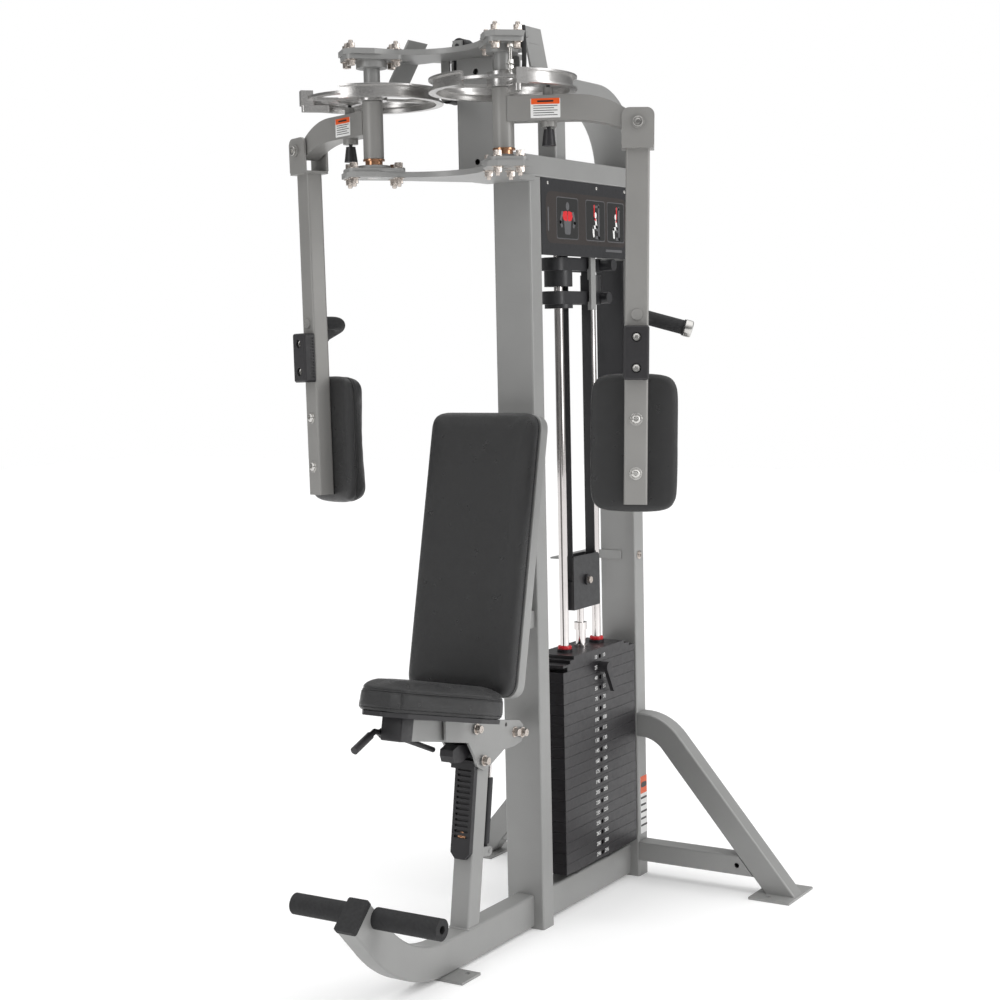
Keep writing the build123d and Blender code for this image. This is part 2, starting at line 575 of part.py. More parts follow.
YOKE_T = 6.0
YOKE_IN = 26.0
YOKE_W = 68.0
with BuildPart() as lower_arm:
    tube_start = Plane(origin=arm_point(HINGE_R, 0, LOWER_ARM_Z0), x_dir=ALONG, z_dir=(0, 0, 1))
    extrude(tube_section(tube_start, LOWER_ARM_W, LOWER_ARM_D, 3), amount=YOKE_BASE_Z - LOWER_ARM_Z0)
    base = Plane(origin=arm_point(HINGE_R, 0, YOKE_BASE_Z), x_dir=ALONG, z_dir=(0, 0, 1))
    with BuildSketch(base) as base_face:
        RectangleRounded(YOKE_W, 2 * (YOKE_IN + YOKE_T), 3)
    extrude(base_face.sketch, amount=YOKE_T)
    for side in (-1, 1):
        cheek = Plane(origin=arm_point(HINGE_R, side * (YOKE_IN + YOKE_T / 2), 0), x_dir=ALONG, z_dir=-ACROSS)
        with BuildSketch(cheek) as cheek_face:
            with Locations((0, (YOKE_BASE_Z + YOKE_T + HINGE_Z + 30) / 2)):
                RectangleRounded(YOKE_W, HINGE_Z + 30 - YOKE_BASE_Z - YOKE_T, 16)
            with Locations((0, YOKE_BASE_Z + YOKE_T + 12)):
                Rectangle(YOKE_W, 24)
        extrude(cheek_face.sketch, amount=YOKE_T / 2, both=True)
    pin_plane = Plane(origin=arm_point(HINGE_R, 0, HINGE_Z), x_dir=ALONG, z_dir=ACROSS)
    with BuildSketch(pin_plane) as pin_face:
        Circle(8)
    extrude(pin_face.sketch, amount=YOKE_IN + YOKE_T + 4, both=True)
    for side in (-1, 1):
        with BuildSketch(pin_plane.offset(side * (YOKE_IN + YOKE_T + 3))) as head_face:
            Circle(13)
        extrude(head_face.sketch, amount=3, both=True)
    bottom = Plane(origin=arm_point(HINGE_R, 0, LOWER_ARM_Z0), x_dir=ALONG, z_dir=(0, 0, 1))
    with BuildSketch(bottom) as end_cap:
        RectangleRounded(LOWER_ARM_W - 5, LOWER_ARM_D - 5, 3)
    extrude(end_cap.sketch, amount=4)
    handle_start = arm_point(HINGE_R, -LOWER_ARM_D / 2 - 3, HANDLE_Z)
    handle_turn = arm_point(HINGE_R, 80, HANDLE_Z)
    handle_end = arm_point(HINGE_R + 112, 80, HANDLE_Z - 30)
    handle_path = bent_path(handle_start, handle_turn, handle_end, 38)
    with BuildSketch(Plane(origin=handle_start, x_dir=ALONG, z_dir=ACROSS)) as handle_face:
        Circle(12)
    sweep(handle_face.sketch, path=handle_path)
save_hung(lower_arm.part, "lower_arm")

GRIP_R = 15.5
with BuildPart() as grip:
    with BuildSketch(Plane(origin=handle_start, x_dir=ALONG, z_dir=ACROSS)) as grip_face:
        Circle(GRIP_R)
        Circle(12, mode=Mode.SUBTRACT)
    sweep(grip_face.sketch, path=handle_path)
    near = Plane(origin=arm_point(HINGE_R, LOWER_ARM_D / 2 + 3, HANDLE_Z), x_dir=ALONG, z_dir=-ACROSS)
    with BuildSketch(near) as near_face:
        Rectangle(60, 60)
    extrude(near_face.sketch, amount=60, mode=Mode.SUBTRACT)
    handle_dir = (Vector(*handle_end) - Vector(*handle_turn)).normalized()
    collar = Plane(origin=Vector(*handle_end) - handle_dir * 14, x_dir=ACROSS, z_dir=handle_dir)
    with BuildSketch(collar) as collar_face:
        Circle(17.5)
        Circle(12, mode=Mode.SUBTRACT)
    extrude(collar_face.sketch, amount=14)
    with BuildSketch(collar.offset(14)) as end_face:
        Circle(17.5)
    extrude(end_face.sketch, amount=4)
save_hung(grip.part, "grip")

STOP_T = 28.0
STOP_Z0 = 1304.0
STOP_Z1 = 1418.0
with BuildPart() as stop_block:
    face = Plane(origin=arm_point(HINGE_R, -LOWER_ARM_D / 2, (STOP_Z0 + STOP_Z1) / 2), x_dir=ALONG, z_dir=-ACROSS)
    with BuildSketch(face) as stop_face:
        RectangleRounded(54, STOP_Z1 - STOP_Z0, 6)
    extrude(stop_face.sketch, amount=STOP_T)
    fillet(stop_block.faces().sort_by(Axis(origin=(0, 0, 0), direction=-ACROSS))[-1].edges(), 5)
    for bolt_z in (1329, 1394):
        hole = Plane(origin=arm_point(HINGE_R, -LOWER_ARM_D / 2 - STOP_T, bolt_z), x_dir=ALONG, z_dir=ACROSS)
        with BuildSketch(hole) as bore_face:
            Circle(10)
        extrude(bore_face.sketch, amount=14, mode=Mode.SUBTRACT)
    for side in (-1, 1):
        for step in range(14):
            groove_z = STOP_Z0 + 12 + step * 6.9
            groove = Plane(origin=arm_point(HINGE_R + side * 28, -LOWER_ARM_D / 2 - 8, groove_z), x_dir=ALONG,
                           z_dir=(0, 0, 1))
            with BuildSketch(groove) as groove_face:
                Rectangle(6, 9)
            extrude(groove_face.sketch, amount=1.6, both=True, mode=Mode.SUBTRACT)
save_hung(stop_block.part, "stop_block")

ARM_PAD_W = 185.0
ARM_PAD_H = 292.0
ARM_PAD_T = 55.0
ARM_PAD_Z = 1168.0
with BuildPart() as arm_pad:
    face = Plane(origin=arm_point(HINGE_R - 4, LOWER_ARM_D / 2, ARM_PAD_Z), x_dir=-ALONG, z_dir=ACROSS)
    with BuildSketch(face) as pad_face:
        RectangleRounded(ARM_PAD_W, ARM_PAD_H, 30)
    extrude(pad_face.sketch, amount=ARM_PAD_T)
    fillet(arm_pad.faces().sort_by(Axis(origin=(0, 0, 0), direction=ACROSS))[-1].edges(), 18)
save_hung(arm_pad.part, "arm_pad")

# ======================================================================================
# Weight stack
# ======================================================================================
ROD_YS = (STACK_Y - ROD_SPACING / 2, STACK_Y + ROD_SPACING / 2)
STACK_END_Z = ROW_1_Z - PLATE_PITCH * (PLATE_ROWS - 1) - PLATE_THICK / 2
with BuildPart() as guide_rods:
    for rod_y_pos in ROD_YS:
        rod_z(0, rod_y_pos, BASE_Z0 + BASE_H, BEAM_TOP_Z0, ROD_R)
save(guide_rods.part, "guide_rods")

with BuildPart() as stack_bumpers:
    for rod_y_pos in ROD_YS:
        rod_z(0, rod_y_pos, BASE_Z0 + BASE_H, STACK_END_Z, 27)
        rod_z(0, rod_y_pos, BASE_Z0 + BASE_H, STACK_END_Z, ROD_R + 0.3, Mode.SUBTRACT)
save(stack_bumpers.part, "stack_bumpers")


def stack_plate(row, rod_hole_r, stem_hole_r, pin_hole_r):
    """One flat weight plate of the stack with its rod, stem and selector holes."""
    z = ROW_1_Z - PLATE_PITCH * (row - 1)
    y_span = (STACK_Y - PLATE_HALF_L, STACK_Y + PLATE_HALF_L)
    slab((-PLATE_HALF_W, PLATE_HALF_W), y_span, (z - PLATE_THICK / 2, z + PLATE_THICK / 2))
    for rod_y_pos in ROD_YS:
        rod_z(0, rod_y_pos, z - PLATE_THICK, z + PLATE_THICK, rod_hole_r, Mode.SUBTRACT)
    rod_z(0, STACK_Y, z - PLATE_THICK, z + PLATE_THICK, stem_hole_r, Mode.SUBTRACT)
    rod_x((PLATE_HALF_W / 2 + 1, STACK_Y, z), pin_hole_r, PLATE_HALF_W + 2, Mode.SUBTRACT)


with BuildPart() as weight_plates:
    for row in range(3, PLATE_ROWS + 1):
        stack_plate(row, ROD_R + 1.5, STEM_R + 1.5, SELECTOR_R + 0.8)
save(weight_plates.part, "weight_plates")

TOP_PLATE_Z = ROW_1_Z + 20
with BuildPart() as lifted_plates:
    stack_plate(2, ROD_R + 1.5, STEM_R, SELECTOR_R + RUN_GAP)
    y0 = STACK_Y - PLATE_HALF_L
    y1 = STACK_Y + PLATE_HALF_L
    z0 = ROW_1_Z - PLATE_THICK / 2
    slab((-PLATE_HALF_W, PLATE_HALF_W), (y0 + 20, y1), (z0, ROW_1_Z + 4))
    slab((-PLATE_HALF_W, PLATE_HALF_W), (y0, y0 + 46), (z0 + 11, ROW_1_Z + 4))
    slab((-PLATE_HALF_W, PLATE_HALF_W), (y0 + 34, y1 - 28), (ROW_1_Z + 4, ROW_1_Z + 12))
    slab((-PLATE_HALF_W, PLATE_HALF_W), (y0 + 52, y1 - 54), (ROW_1_Z + 12, TOP_PLATE_Z))
    for rod_y_pos in ROD_YS:
        rod_z(0, rod_y_pos, TOP_PLATE_Z, TOP_PLATE_Z + 7, 19)
        rod_z(0, rod_y_pos, z0 - 1, TOP_PLATE_Z + 8, ROD_R + RUN_GAP, Mode.SUBTRACT)
    rod_z(0, STACK_Y, z0 - 1, TOP_PLATE_Z + 8, STEM_R, Mode.SUBTRACT)
    rod_x((PLATE_HALF_W / 2 + 1, STACK_Y, ROW_1_Z), SELECTOR_R + 0.8, PLATE_HALF_W + 2, Mode.SUBTRACT)
save(lifted_plates.part, "lifted_plates")

with BuildPart() as selector_stem:
    rod_z(0, STACK_Y, STACK_END_Z + 3, TOP_PLATE_Z + 48, STEM_R)
    rod_z(0, STACK_Y, TOP_PLATE_Z, TOP_PLATE_Z + 6, 17)
    rod_z(0, STACK_Y, TOP_PLATE_Z + 44, TOP_PLATE_Z + 62, 16)
    rod_z(0, STACK_Y, TOP_PLATE_Z + 62, BLOCK_Z0, 9)
    for row in range(1, PLATE_ROWS + 1):
        z = ROW_1_Z - PLATE_PITCH * (row - 1)
        rod_x((0, STACK_Y, z), SELECTOR_R + RUN_GAP, 2 * STEM_R + 4, Mode.SUBTRACT)
save(selector_stem.part, "selector_stem")

PIN_ROW_Z = ROW_1_Z - PLATE_PITCH
with BuildPart() as selector_pin:
    rod_x((23, STACK_Y, PIN_ROW_Z), SELECTOR_R, 66)
    rod_x((PLATE_HALF_W + 14, STACK_Y, PIN_ROW_Z), 13, 26)
    tail = Plane(origin=(PLATE_HALF_W + 16, STACK_Y, PIN_ROW_Z), x_dir=(0, 1, 0), z_dir=(1, 0, 0))
    tail_points = [(-6, 4), (12, 6), (44, -56), (42, -68), (32, -66), (2, -12)]
    outline(tail, tail_points, 5, both=True)
save(selector_pin.part, "selector_pin")

BLOCK_HALF_L = 65.0
BLOCK_HALF_W = 20.0
PULLEY_Z = 800.0
with BuildPart() as pulley_block:
    for side in (-1, 1):
        cheek_x = sorted((side * BLOCK_HALF_W, side * (BLOCK_HALF_W - 5)))
        slab(cheek_x, (STACK_Y - BLOCK_HALF_L, STACK_Y + BLOCK_HALF_L), (BLOCK_Z0, BLOCK_Z1))
    slab((-BLOCK_HALF_W, BLOCK_HALF_W), (STACK_Y - BLOCK_HALF_L, STACK_Y + BLOCK_HALF_L), (BLOCK_Z0, BLOCK_Z0 + 8))
    for end in (-1, 1):
        ear_y = sorted((STACK_Y + end * BLOCK_HALF_L, STACK_Y + end * (BLOCK_HALF_L - 4)))
        slab((-BLOCK_HALF_W, BLOCK_HALF_W), ear_y, (BLOCK_Z0, BLOCK_Z0 + 70))
    rod_x((0, STACK_Y, PULLEY_Z), 8 + RUN_GAP, 60, Mode.SUBTRACT)
    vertical = pulley_block.edges().filter_by(Axis.X).group_by(Axis.Z)[-1]
    fillet(vertical, 10)
save(pulley_block.part, "pulley_block")

with BuildPart() as block_pulley:
    rod_x((0, STACK_Y, PULLEY_Z), PULLEY_R, 28)
    for end in (-1, 1):
        rod_x((end * 13.6, STACK_Y, PULLEY_Z), PULLEY_R + 6, 1.6)
    for step in range(6):
        angle = math.radians(60 * step)
        spot = (0, STACK_Y + 30 * math.cos(angle), PULLEY_Z + 30 * math.sin(angle))
        rod_x(spot, 8, 40, Mode.SUBTRACT)
    rod_x((0, STACK_Y, PULLEY_Z), 8, 46)
    for end in (-1, 1):
        rod_x((end * 23, STACK_Y, PULLEY_Z), 13, 5.4)
save(block_pulley.part, "block_pulley")

LIFT_BELT_Z1 = BEAM_TOP_Z0 + 6
with BuildPart() as lift_belt:
    for end in (-1, 1):
        strand_y = STACK_Y + end * (PULLEY_R + BELT_T / 2 + 0.3)
        slab((-BELT_W / 2, BELT_W / 2), (strand_y - BELT_T / 2, strand_y + BELT_T / 2), (PULLEY_Z, LIFT_BELT_Z1))
save(lift_belt.part, "lift_belt")

with BuildPart() as belt_run:
    for side in (-1, 1):
        strand_x = sorted((side * (STRAND_X - BELT_T / 2 + 0.4), side * (STRAND_X + BELT_T / 2 - 0.4)))
        slab(strand_x, (ROLLER_Y - 12, ROLLER_Y + 12), (ROLLER_LOW[2], ROLLER_TOP[2]))
        inner_x = sorted((side * (2 * ROLLER_TOP[0] - STRAND_X - 1.2), side * (2 * ROLLER_TOP[0] - STRAND_X + 1)))
        slab(inner_x, (ROLLER_Y - 12, ROLLER_Y + 12), (UPPER_PLATE_Z0 - 1, ROLLER_TOP[2]))
        crown = Plane(origin=(side * ROLLER_TOP[0], ROLLER_Y, ROLLER_TOP[2]), x_dir=(1, 0, 0), z_dir=(0, -1, 0))
        with BuildSketch(crown) as crown_face:
            Circle(ROLLER_R + BELT_T - 0.2)
            Circle(ROLLER_R + 0.4, mode=Mode.SUBTRACT)
            with Locations((0, -40)):
                Rectangle(80, 80, mode=Mode.SUBTRACT)
        extrude(crown_face.sketch, amount=12, both=True)
        curl = Plane(origin=(side * ROLLER_LOW[0], ROLLER_Y, ROLLER_LOW[2]), x_dir=(side, 0, 0), z_dir=(0, -side, 0))
        with BuildSketch(curl) as curl_face:
            Circle(ROLLER_R + BELT_T - 0.2)
            Circle(ROLLER_R + 0.4, mode=Mode.SUBTRACT)
            with Locations((40, 0)):
                Rectangle(80, 80, mode=Mode.SUBTRACT)
            with Locations((0, 40)):
                Rectangle(80, 80, mode=Mode.SUBTRACT)
        extrude(curl_face.sketch, amount=12, both=True)
save(belt_run.part, "belt_run")

ADD_ON_Y0 = 240.0
ADD_ON_Y1 = 474.0


def belt_slot(z0, z1):
    """Opening through an add-on weight that the lift belt runs in."""
    slab((-16, 16), (STACK_Y - 62, STACK_Y + 62), (z0, z1), Mode.SUBTRACT)


def add_on_weight(z0, height, body_z0, knob_x, hole_r):
    """Sliding add-on weight: a bar on both rods, a round body on the front one, and a knob."""
    bar = Plane(origin=(0, (ADD_ON_Y0 + ADD_ON_Y1) / 2, z0), x_dir=(0, 1, 0), z_dir=(0, 0, 1))
    with BuildSketch(bar) as bar_face:
        SlotOverall(ADD_ON_Y1 - ADD_ON_Y0, 62)
    extrude(bar_face.sketch, amount=height)
    rod_z(0, ROD_YS[0], body_z0, z0, 34)
    rod_x((knob_x / 2 + 6, ROD_YS[1], z0 + height / 2), 14.5, knob_x - 12)
    for rod_y_pos in ROD_YS:
        rod_z(0, rod_y_pos, body_z0 - 1, z0 + height + 1, hole_r, Mode.SUBTRACT)
    belt_slot(body_z0 - 1, z0 + height + 1)


with BuildPart() as add_on_upper:
    add_on_weight(1556, 31, 1518, 66, ROD_R + RUN_GAP)
save(add_on_upper.part, "add_on_upper")

with BuildPart() as add_on_lower:
    add_on_weight(1476, 31, 1466, 52, ROD_R + RUN_GAP)
    rod_z(0, ROD_YS[1], 1507, 1548, 26)
    rod_z(0, ROD_YS[1], 1470, 1549, ROD_R + RUN_GAP, Mode.SUBTRACT)
    belt_slot(1465, 1549)
save(add_on_lower.part, "add_on_lower")

HANGER_X = 36.0
with BuildPart() as stack_brackets:
    slab((HANGER_X, HANGER_X + 6), (374, 398), (1462, BEAM_TOP_Z0))
    slab((HANGER_X - 4, HANGER_X), (374, 398), (1462, 1482))
    slab((HANGER_X - 4, HANGER_X), (374, 398), (1535, 1560))
    slab((HANGER_X - 30, HANGER_X), (374, 398), (BEAM_TOP_Z0 - 6, BEAM_TOP_Z0))
    slab((-60, 12), (REAR_Y0 - 4, REAR_Y0), (828, 850))
    slab((-88, -58), (376, REAR_Y0), (846, 850))
save(stack_brackets.part, "stack_brackets")

PLACARD_Z0 = 1588.0
with BuildPart() as placard:
    slab((TUBE_W / 2 - 3, TUBE_W / 2), (FRONT_Y1, REAR_Y0), (PLACARD_Z0, BEAM_TOP_Z0))
    slab((-TUBE_W / 2 + 2, TUBE_W / 2 - 22), (REAR_Y0 - 3, REAR_Y0), (960, PLACARD_Z0 - 2))
save(placard.part, "placard")

# ======================================================================================
# Seat post, seat carriage, back pad
# ======================================================================================
POST_BELOW = 30.0         # extra length cut off level with the base beam
POST_L = 528.0
GAS_EYE_UP = 166.0        # lower gas spring eye: along the post, and behind its centre line
GAS_EYE_BACK = 68.0
GAS_EYE_R = 9.5
GAS_BOLT_R = 5.0
post_y, post_z = post_point(BASE_Z0 + BASE_H, -TUBE_D / 2)
with BuildPart() as seat_post:
    below = Vector(0, post_y, post_z) - POST_DIR * POST_BELOW
    straight_tube(below, POST_DIR, (1, 0, 0), TUBE_D, TUBE_D, POST_L + POST_BELOW)
    slab((-60, 60), (-400, 0), (0, BASE_Z0 + BASE_H), Mode.SUBTRACT)
    eye_low = Vector(0, post_y, post_z) + POST_DIR * GAS_EYE_UP - POST_OUT * GAS_EYE_BACK
    ear_plane = Plane(origin=eye_low, x_dir=-POST_OUT, z_dir=(1, 0, 0))
    for side in (-1, 1):
        with BuildSketch(ear_plane.offset(side * 11)) as ear_face:
            with Locations((-22, 0)):
                Rectangle(46, 22)
            Circle(11)
        extrude(ear_face.sketch, amount=2, both=True)
    rod_x(tuple(eye_low), GAS_BOLT_R, 30)
save(seat_post.part, "seat_post")

CYL_R = 9.0
GAS_ROD_R = 4.0
with BuildPart() as gas_cylinder:
    with BuildSketch(Plane(origin=eye_low + POST_DIR * 16, x_dir=(1, 0, 0), z_dir=POST_DIR)) as cyl_face:
        Circle(CYL_R)
    extrude(cyl_face.sketch, amount=150)
    with BuildSketch(Plane(origin=eye_low, x_dir=-POST_OUT, z_dir=(1, 0, 0))) as eye_face:
        Circle(GAS_EYE_R)
    extrude(eye_face.sketch, amount=8.5, both=True)
    with BuildSketch(Plane(origin=eye_low, x_dir=(1, 0, 0), z_dir=POST_DIR)) as neck_face:
        Circle(5)
    extrude(neck_face.sketch, amount=20)
    rod_x(tuple(eye_low), GAS_BOLT_R, 30, Mode.SUBTRACT)
    with BuildSketch(Plane(origin=eye_low + POST_DIR * 20, x_dir=(1, 0, 0), z_dir=POST_DIR)) as bore_face:
        Circle(GAS_ROD_R + RUN_GAP)
    extrude(bore_face.sketch, amount=150, mode=Mode.SUBTRACT)
save(gas_cylinder.part, "gas_cylinder")

GAS_LENGTH = 290.0
eye_high = eye_low + POST_DIR * GAS_LENGTH
with BuildPart() as gas_rod:
    with BuildSketch(Plane(origin=eye_low + POST_DIR * 132, x_dir=(1, 0, 0), z_dir=POST_DIR)) as gas_face:
        Circle(GAS_ROD_R)
    extrude(gas_face.sketch, amount=GAS_LENGTH - 132)
    with BuildSketch(Plane(origin=eye_high, x_dir=-POST_OUT, z_dir=(1, 0, 0))) as eye_face:
        Circle(GAS_EYE_R)
    extrude(eye_face.sketch, amount=8.5, both=True)
    rod_x(tuple(eye_high), GAS_BOLT_R, 60)
save(gas_rod.part, "gas_rod")

RACK_Z0 = 236.0
RACK_TOOTH = 5.0
RACK_FOOT_H = (RACK_Z0 - BASE_Z0 - BASE_H) / math.cos(math.radians(POST_LEAN))
FIRST_GROOVE = 50.0
with BuildPart() as seat_rack:
    rack_y, rack_z = post_point(RACK_Z0, 0)
    rack_plane = Plane(origin=(0, rack_y, rack_z), x_dir=(1, 0, 0), z_dir=POST_OUT)
    rack_l = 340.0
    face = [(-25, 14), (-13, 0), (13, 0), (25, 14), (25, rack_l), (-25, rack_l)]
    rack_up = -1 if rack_plane.y_dir.Z < 0 else 1
    outline(rack_plane, [(x, rack_up * y) for x, y in face], RACK_T)
    for step in range(22):
        groove_y = rack_up * (FIRST_GROOVE + step * RACK_PITCH)
        groove = rack_plane.offset(RACK_T)
        with BuildSketch(groove) as groove_face:
            with Locations((0, groove_y)):
                RectangleRounded(36, 6, 2.5)
        extrude(groove_face.sketch, amount=-RACK_TOOTH, mode=Mode.SUBTRACT)
save(seat_rack.part, "seat_rack")

TUBE_FRONT = Vector(0, -450.0, 583.4)
LEVER_X = -33.5
LEVER_R = 6.0
LEVER_PIVOT = (LEVER_X, -436.0, 567.0)
LEVER_BOLT_R = 4.0
SIDE_PLATE_X = 30.5
SIDE_PLATE_T = 6.0
SUPPORT_L = 276.0
with BuildPart() as seat_carriage:
    straight_tube(TUBE_FRONT, SEAT_BACKWARD, (1, 0, 0), TUBE_D, TUBE_D, SUPPORT_L, 3)
    for side in (-1, 1):
        plate_x = sorted((side * SIDE_PLATE_X, side * (SIDE_PLATE_X + SIDE_PLATE_T)))
        side_plane = Plane(origin=(plate_x[0], 0, 0), x_dir=(0, 1, 0), z_dir=(1, 0, 0))
        side_points = [(-300, 573), (-300, 527), (-212, 508), (-186, 470), (-178, 448), (-150, 432),
                       (-120, 440), (-62, 463), (-20, 461), (14, 466), (28, 484), (24, 504), (8, 517),
                       (-60, 531)]
        outline(side_plane, side_points, SIDE_PLATE_T)
        shim_x = sorted((side * TUBE_D / 2, side * SIDE_PLATE_X))
        slab(shim_x, (-290, -236), (536, 556))
    for bolt_y, bolt_z in ((-183, 534), (-155, 457), (11, 489)):
        if bolt_y > -100:
            rod_x((0, bolt_y, bolt_z), 5, 2 * SIDE_PLATE_X)
        for side in (-1, 1):
            rod_x((side * (SIDE_PLATE_X + SIDE_PLATE_T + 2.5), bolt_y, bolt_z), 8, 5)
    rod_x(tuple(eye_high), GAS_BOLT_R, 100, Mode.SUBTRACT)
    rod_x((-33, LEVER_PIVOT[1], LEVER_PIVOT[2]), LEVER_BOLT_R, 18)
    rod_x((-42, LEVER_PIVOT[1], LEVER_PIVOT[2]), 8, 4)
save(seat_carriage.part, "seat_carriage")

with BuildPart() as carriage_glides:
    for side in (-1, 1):
        for height in (384, 428):
            mid = Vector(0, post_y, post_z) + POST_DIR * height
            glide = Plane(origin=mid + Vector(side * (TUBE_D / 2 + BODY_GAP), 0, 0), x_dir=POST_DIR,
                          z_dir=(side, 0, 0))
            with BuildSketch(glide) as glide_face:
                Rectangle(36, 44)
            extrude(glide_face.sketch, amount=SIDE_PLATE_X - TUBE_D / 2 - BODY_GAP)
    rear_mid = Vector(0, post_y, post_z) + POST_DIR * 424 - POST_OUT * (TUBE_D / 2 + BODY_GAP)
    rear_plane = Plane(origin=rear_mid, x_dir=(1, 0, 0), z_dir=-POST_OUT)
    with BuildSketch(rear_plane) as rear_face:
        Rectangle(2 * SIDE_PLATE_X, 30)
    extrude(rear_face.sketch, amount=8)
    front_mid = Vector(0, post_y, post_z) + POST_DIR * 368 + POST_OUT * (TUBE_D / 2 + RACK_T + BODY_GAP)
    front_plane = Plane(origin=front_mid, x_dir=(1, 0, 0), z_dir=POST_OUT)
    with BuildSketch(front_plane) as front_face:
        Rectangle(2 * SIDE_PLATE_X, 20)
    extrude(front_face.sketch, amount=10)
save(carriage_glides.part, "carriage_glides")

PAWL_GROOVE = 16
PAWL_H = RACK_FOOT_H + FIRST_GROOVE + PAWL_GROOVE * RACK_PITCH
PAWL_X = 17.0
pawl_tip = Vector(0, post_y, post_z) + POST_DIR * PAWL_H + POST_OUT * (TUBE_D / 2 + RACK_T)
with BuildPart() as seat_pawl:
    pawl_plane = Plane(origin=pawl_tip - Vector(PAWL_X, 0, 0), x_dir=POST_OUT, z_dir=(1, 0, 0))
    up = 1 if pawl_plane.y_dir.Z > 0 else -1
    shape = [(-4, -2), (0.8, -2), (6, -12), (40, -30), (72, -30), (80, -16), (80, -2), (58, 8),
             (6, 8), (0.8, 2), (-4, 2)]
    outline(pawl_plane, [(x, up * y) for x, y in shape], 2 * PAWL_X)
save(seat_pawl.part, "seat_pawl")

with BuildPart() as release_lever:
    with BuildLine() as lever_path:
        lever_points = [(LEVER_X, -540, 550), (LEVER_X, -466, 577), (LEVER_X, -362, 540), (LEVER_X, -248, 493)]
        Polyline(*lever_points)
    lever_dir = (Vector(*lever_points[1]) - Vector(*lever_points[0])).normalized()
    with BuildSketch(Plane(origin=lever_points[0], x_dir=(1, 0, 0), z_dir=lever_dir)) as lever_face:
        Circle(LEVER_R)
    sweep(lever_face.sketch, path=lever_path.line, transition=Transition.ROUND)
    with BuildSketch(Plane(origin=lever_points[0], x_dir=(1, 0, 0), z_dir=lever_dir)) as knob_face:
        Circle(LEVER_R + 2.5)
    extrude(knob_face.sketch, amount=62)
    rod_x(LEVER_PIVOT, 11, 10)
    rod_x(LEVER_PIVOT, LEVER_BOLT_R + RUN_GAP, 20, Mode.SUBTRACT)
save(release_lever.part, "release_lever")

SEAT_W = 290.0
SEAT_FRONT_W = 118.0
SEAT_T = 60.0
SEAT_HALF_L = 155.0
SEAT_UNDER = 35.0
seat_origin = TUBE_FRONT + SEAT_BACKWARD * 72 + SEAT_UP * SEAT_UNDER
seat_plane = Plane(origin=seat_origin, x_dir=(1, 0, 0), z_dir=SEAT_UP)
seat_sign = 1 if seat_plane.y_dir.Y > 0 else -1


def seat_shape(margin):
    """Seat plan: narrow rounded nose, flared sides, wide square back."""
    half = SEAT_W / 2 - margin
    nose = SEAT_FRONT_W / 2 - margin
    front = margin - SEAT_HALF_L
    back = SEAT_HALF_L - margin
    return [(-half, seat_sign * back), (-half, seat_sign * 62), (-nose - 8, seat_sign * (front + 44)),
            (-nose + 26, seat_sign * front), (nose - 26, seat_sign * front),
            (nose + 8, seat_sign * (front + 44)), (half, seat_sign * 62), (half, seat_sign * back)]


with BuildPart() as seat_board:
    with BuildSketch(seat_plane.offset(-SEAT_UNDER + TUBE_D / 2)) as board_face:
        with BuildLine():
            Polyline(*seat_shape(8), close=True)
        make_face()
        fillet(board_face.vertices(), 14)
    extrude(board_face.sketch, amount=SEAT_UNDER - TUBE_D / 2)
save(seat_board.part, "seat_board")

with BuildPart() as seat_cushion:
    with BuildSketch(seat_plane) as cushion_face:
        with BuildLine():
            Polyline(*seat_shape(0), close=True)
        make_face()
        fillet(cushion_face.vertices(), 22)
    extrude(cushion_face.sketch, amount=SEAT_T)
    fillet(seat_cushion.faces().sort_by(Axis(origin=(0, 0, 0), direction=SEAT_UP))[-1].edges(), 15)
save(seat_cushion.part, "seat_cushion")

BACK_W = 286.0
BACK_H = 640.0
BACK_T = 70.0
BACK_FOOT = Vector(0, -206.0, 612.0)
BACK_UP = Vector(0, math.sin(math.radians(PAD_LEAN)), math.cos(math.radians(PAD_LEAN)))
BACK_OUT = Vector(0, -math.cos(math.radians(PAD_LEAN)), math.sin(math.radians(PAD_LEAN)))
back_origin = BACK_FOOT + BACK_UP * (BACK_H / 2) - BACK_OUT * BACK_T
with BuildPart() as back_cushion:
    with BuildSketch(Plane(origin=back_origin, x_dir=(1, 0, 0), z_dir=BACK_OUT)) as back_face:
        RectangleRounded(BACK_W, BACK_H, 26)
    extrude(back_face.sketch, amount=BACK_T)
    fillet(back_cushion.faces().sort_by(Axis(origin=(0, 0, 0), direction=BACK_OUT))[-1].edges(), 16)
save(back_cushion.part, "back_cushion")

with BuildPart() as back_brackets:
    for along in (-170, 200):
        anchor = back_origin + BACK_UP * along
        slab((-40, 40), (anchor.Y + 4, FRONT_Y), (anchor.Z - 20, anchor.Z + 20))
    behind = Plane(origin=back_origin, x_dir=(1, 0, 0), z_dir=BACK_OUT)
    with BuildSketch(behind) as cut_face:
        Rectangle(400, 900)
    extrude(cut_face.sketch, amount=200, mode=Mode.SUBTRACT)
    with BuildSketch(behind) as strap_face:
        Rectangle(70, 460)
    extrude(strap_face.sketch, amount=-6)
save(back_brackets.part, "back_brackets")
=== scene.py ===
"""Blender looks for the pec deck machine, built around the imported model. Metres, Z up."""
import json
import math

import bmesh
import bpy
from mathutils import Matrix, Vector
from mathutils.bvhtree import BVHTree
from mathutils.kdtree import KDTree


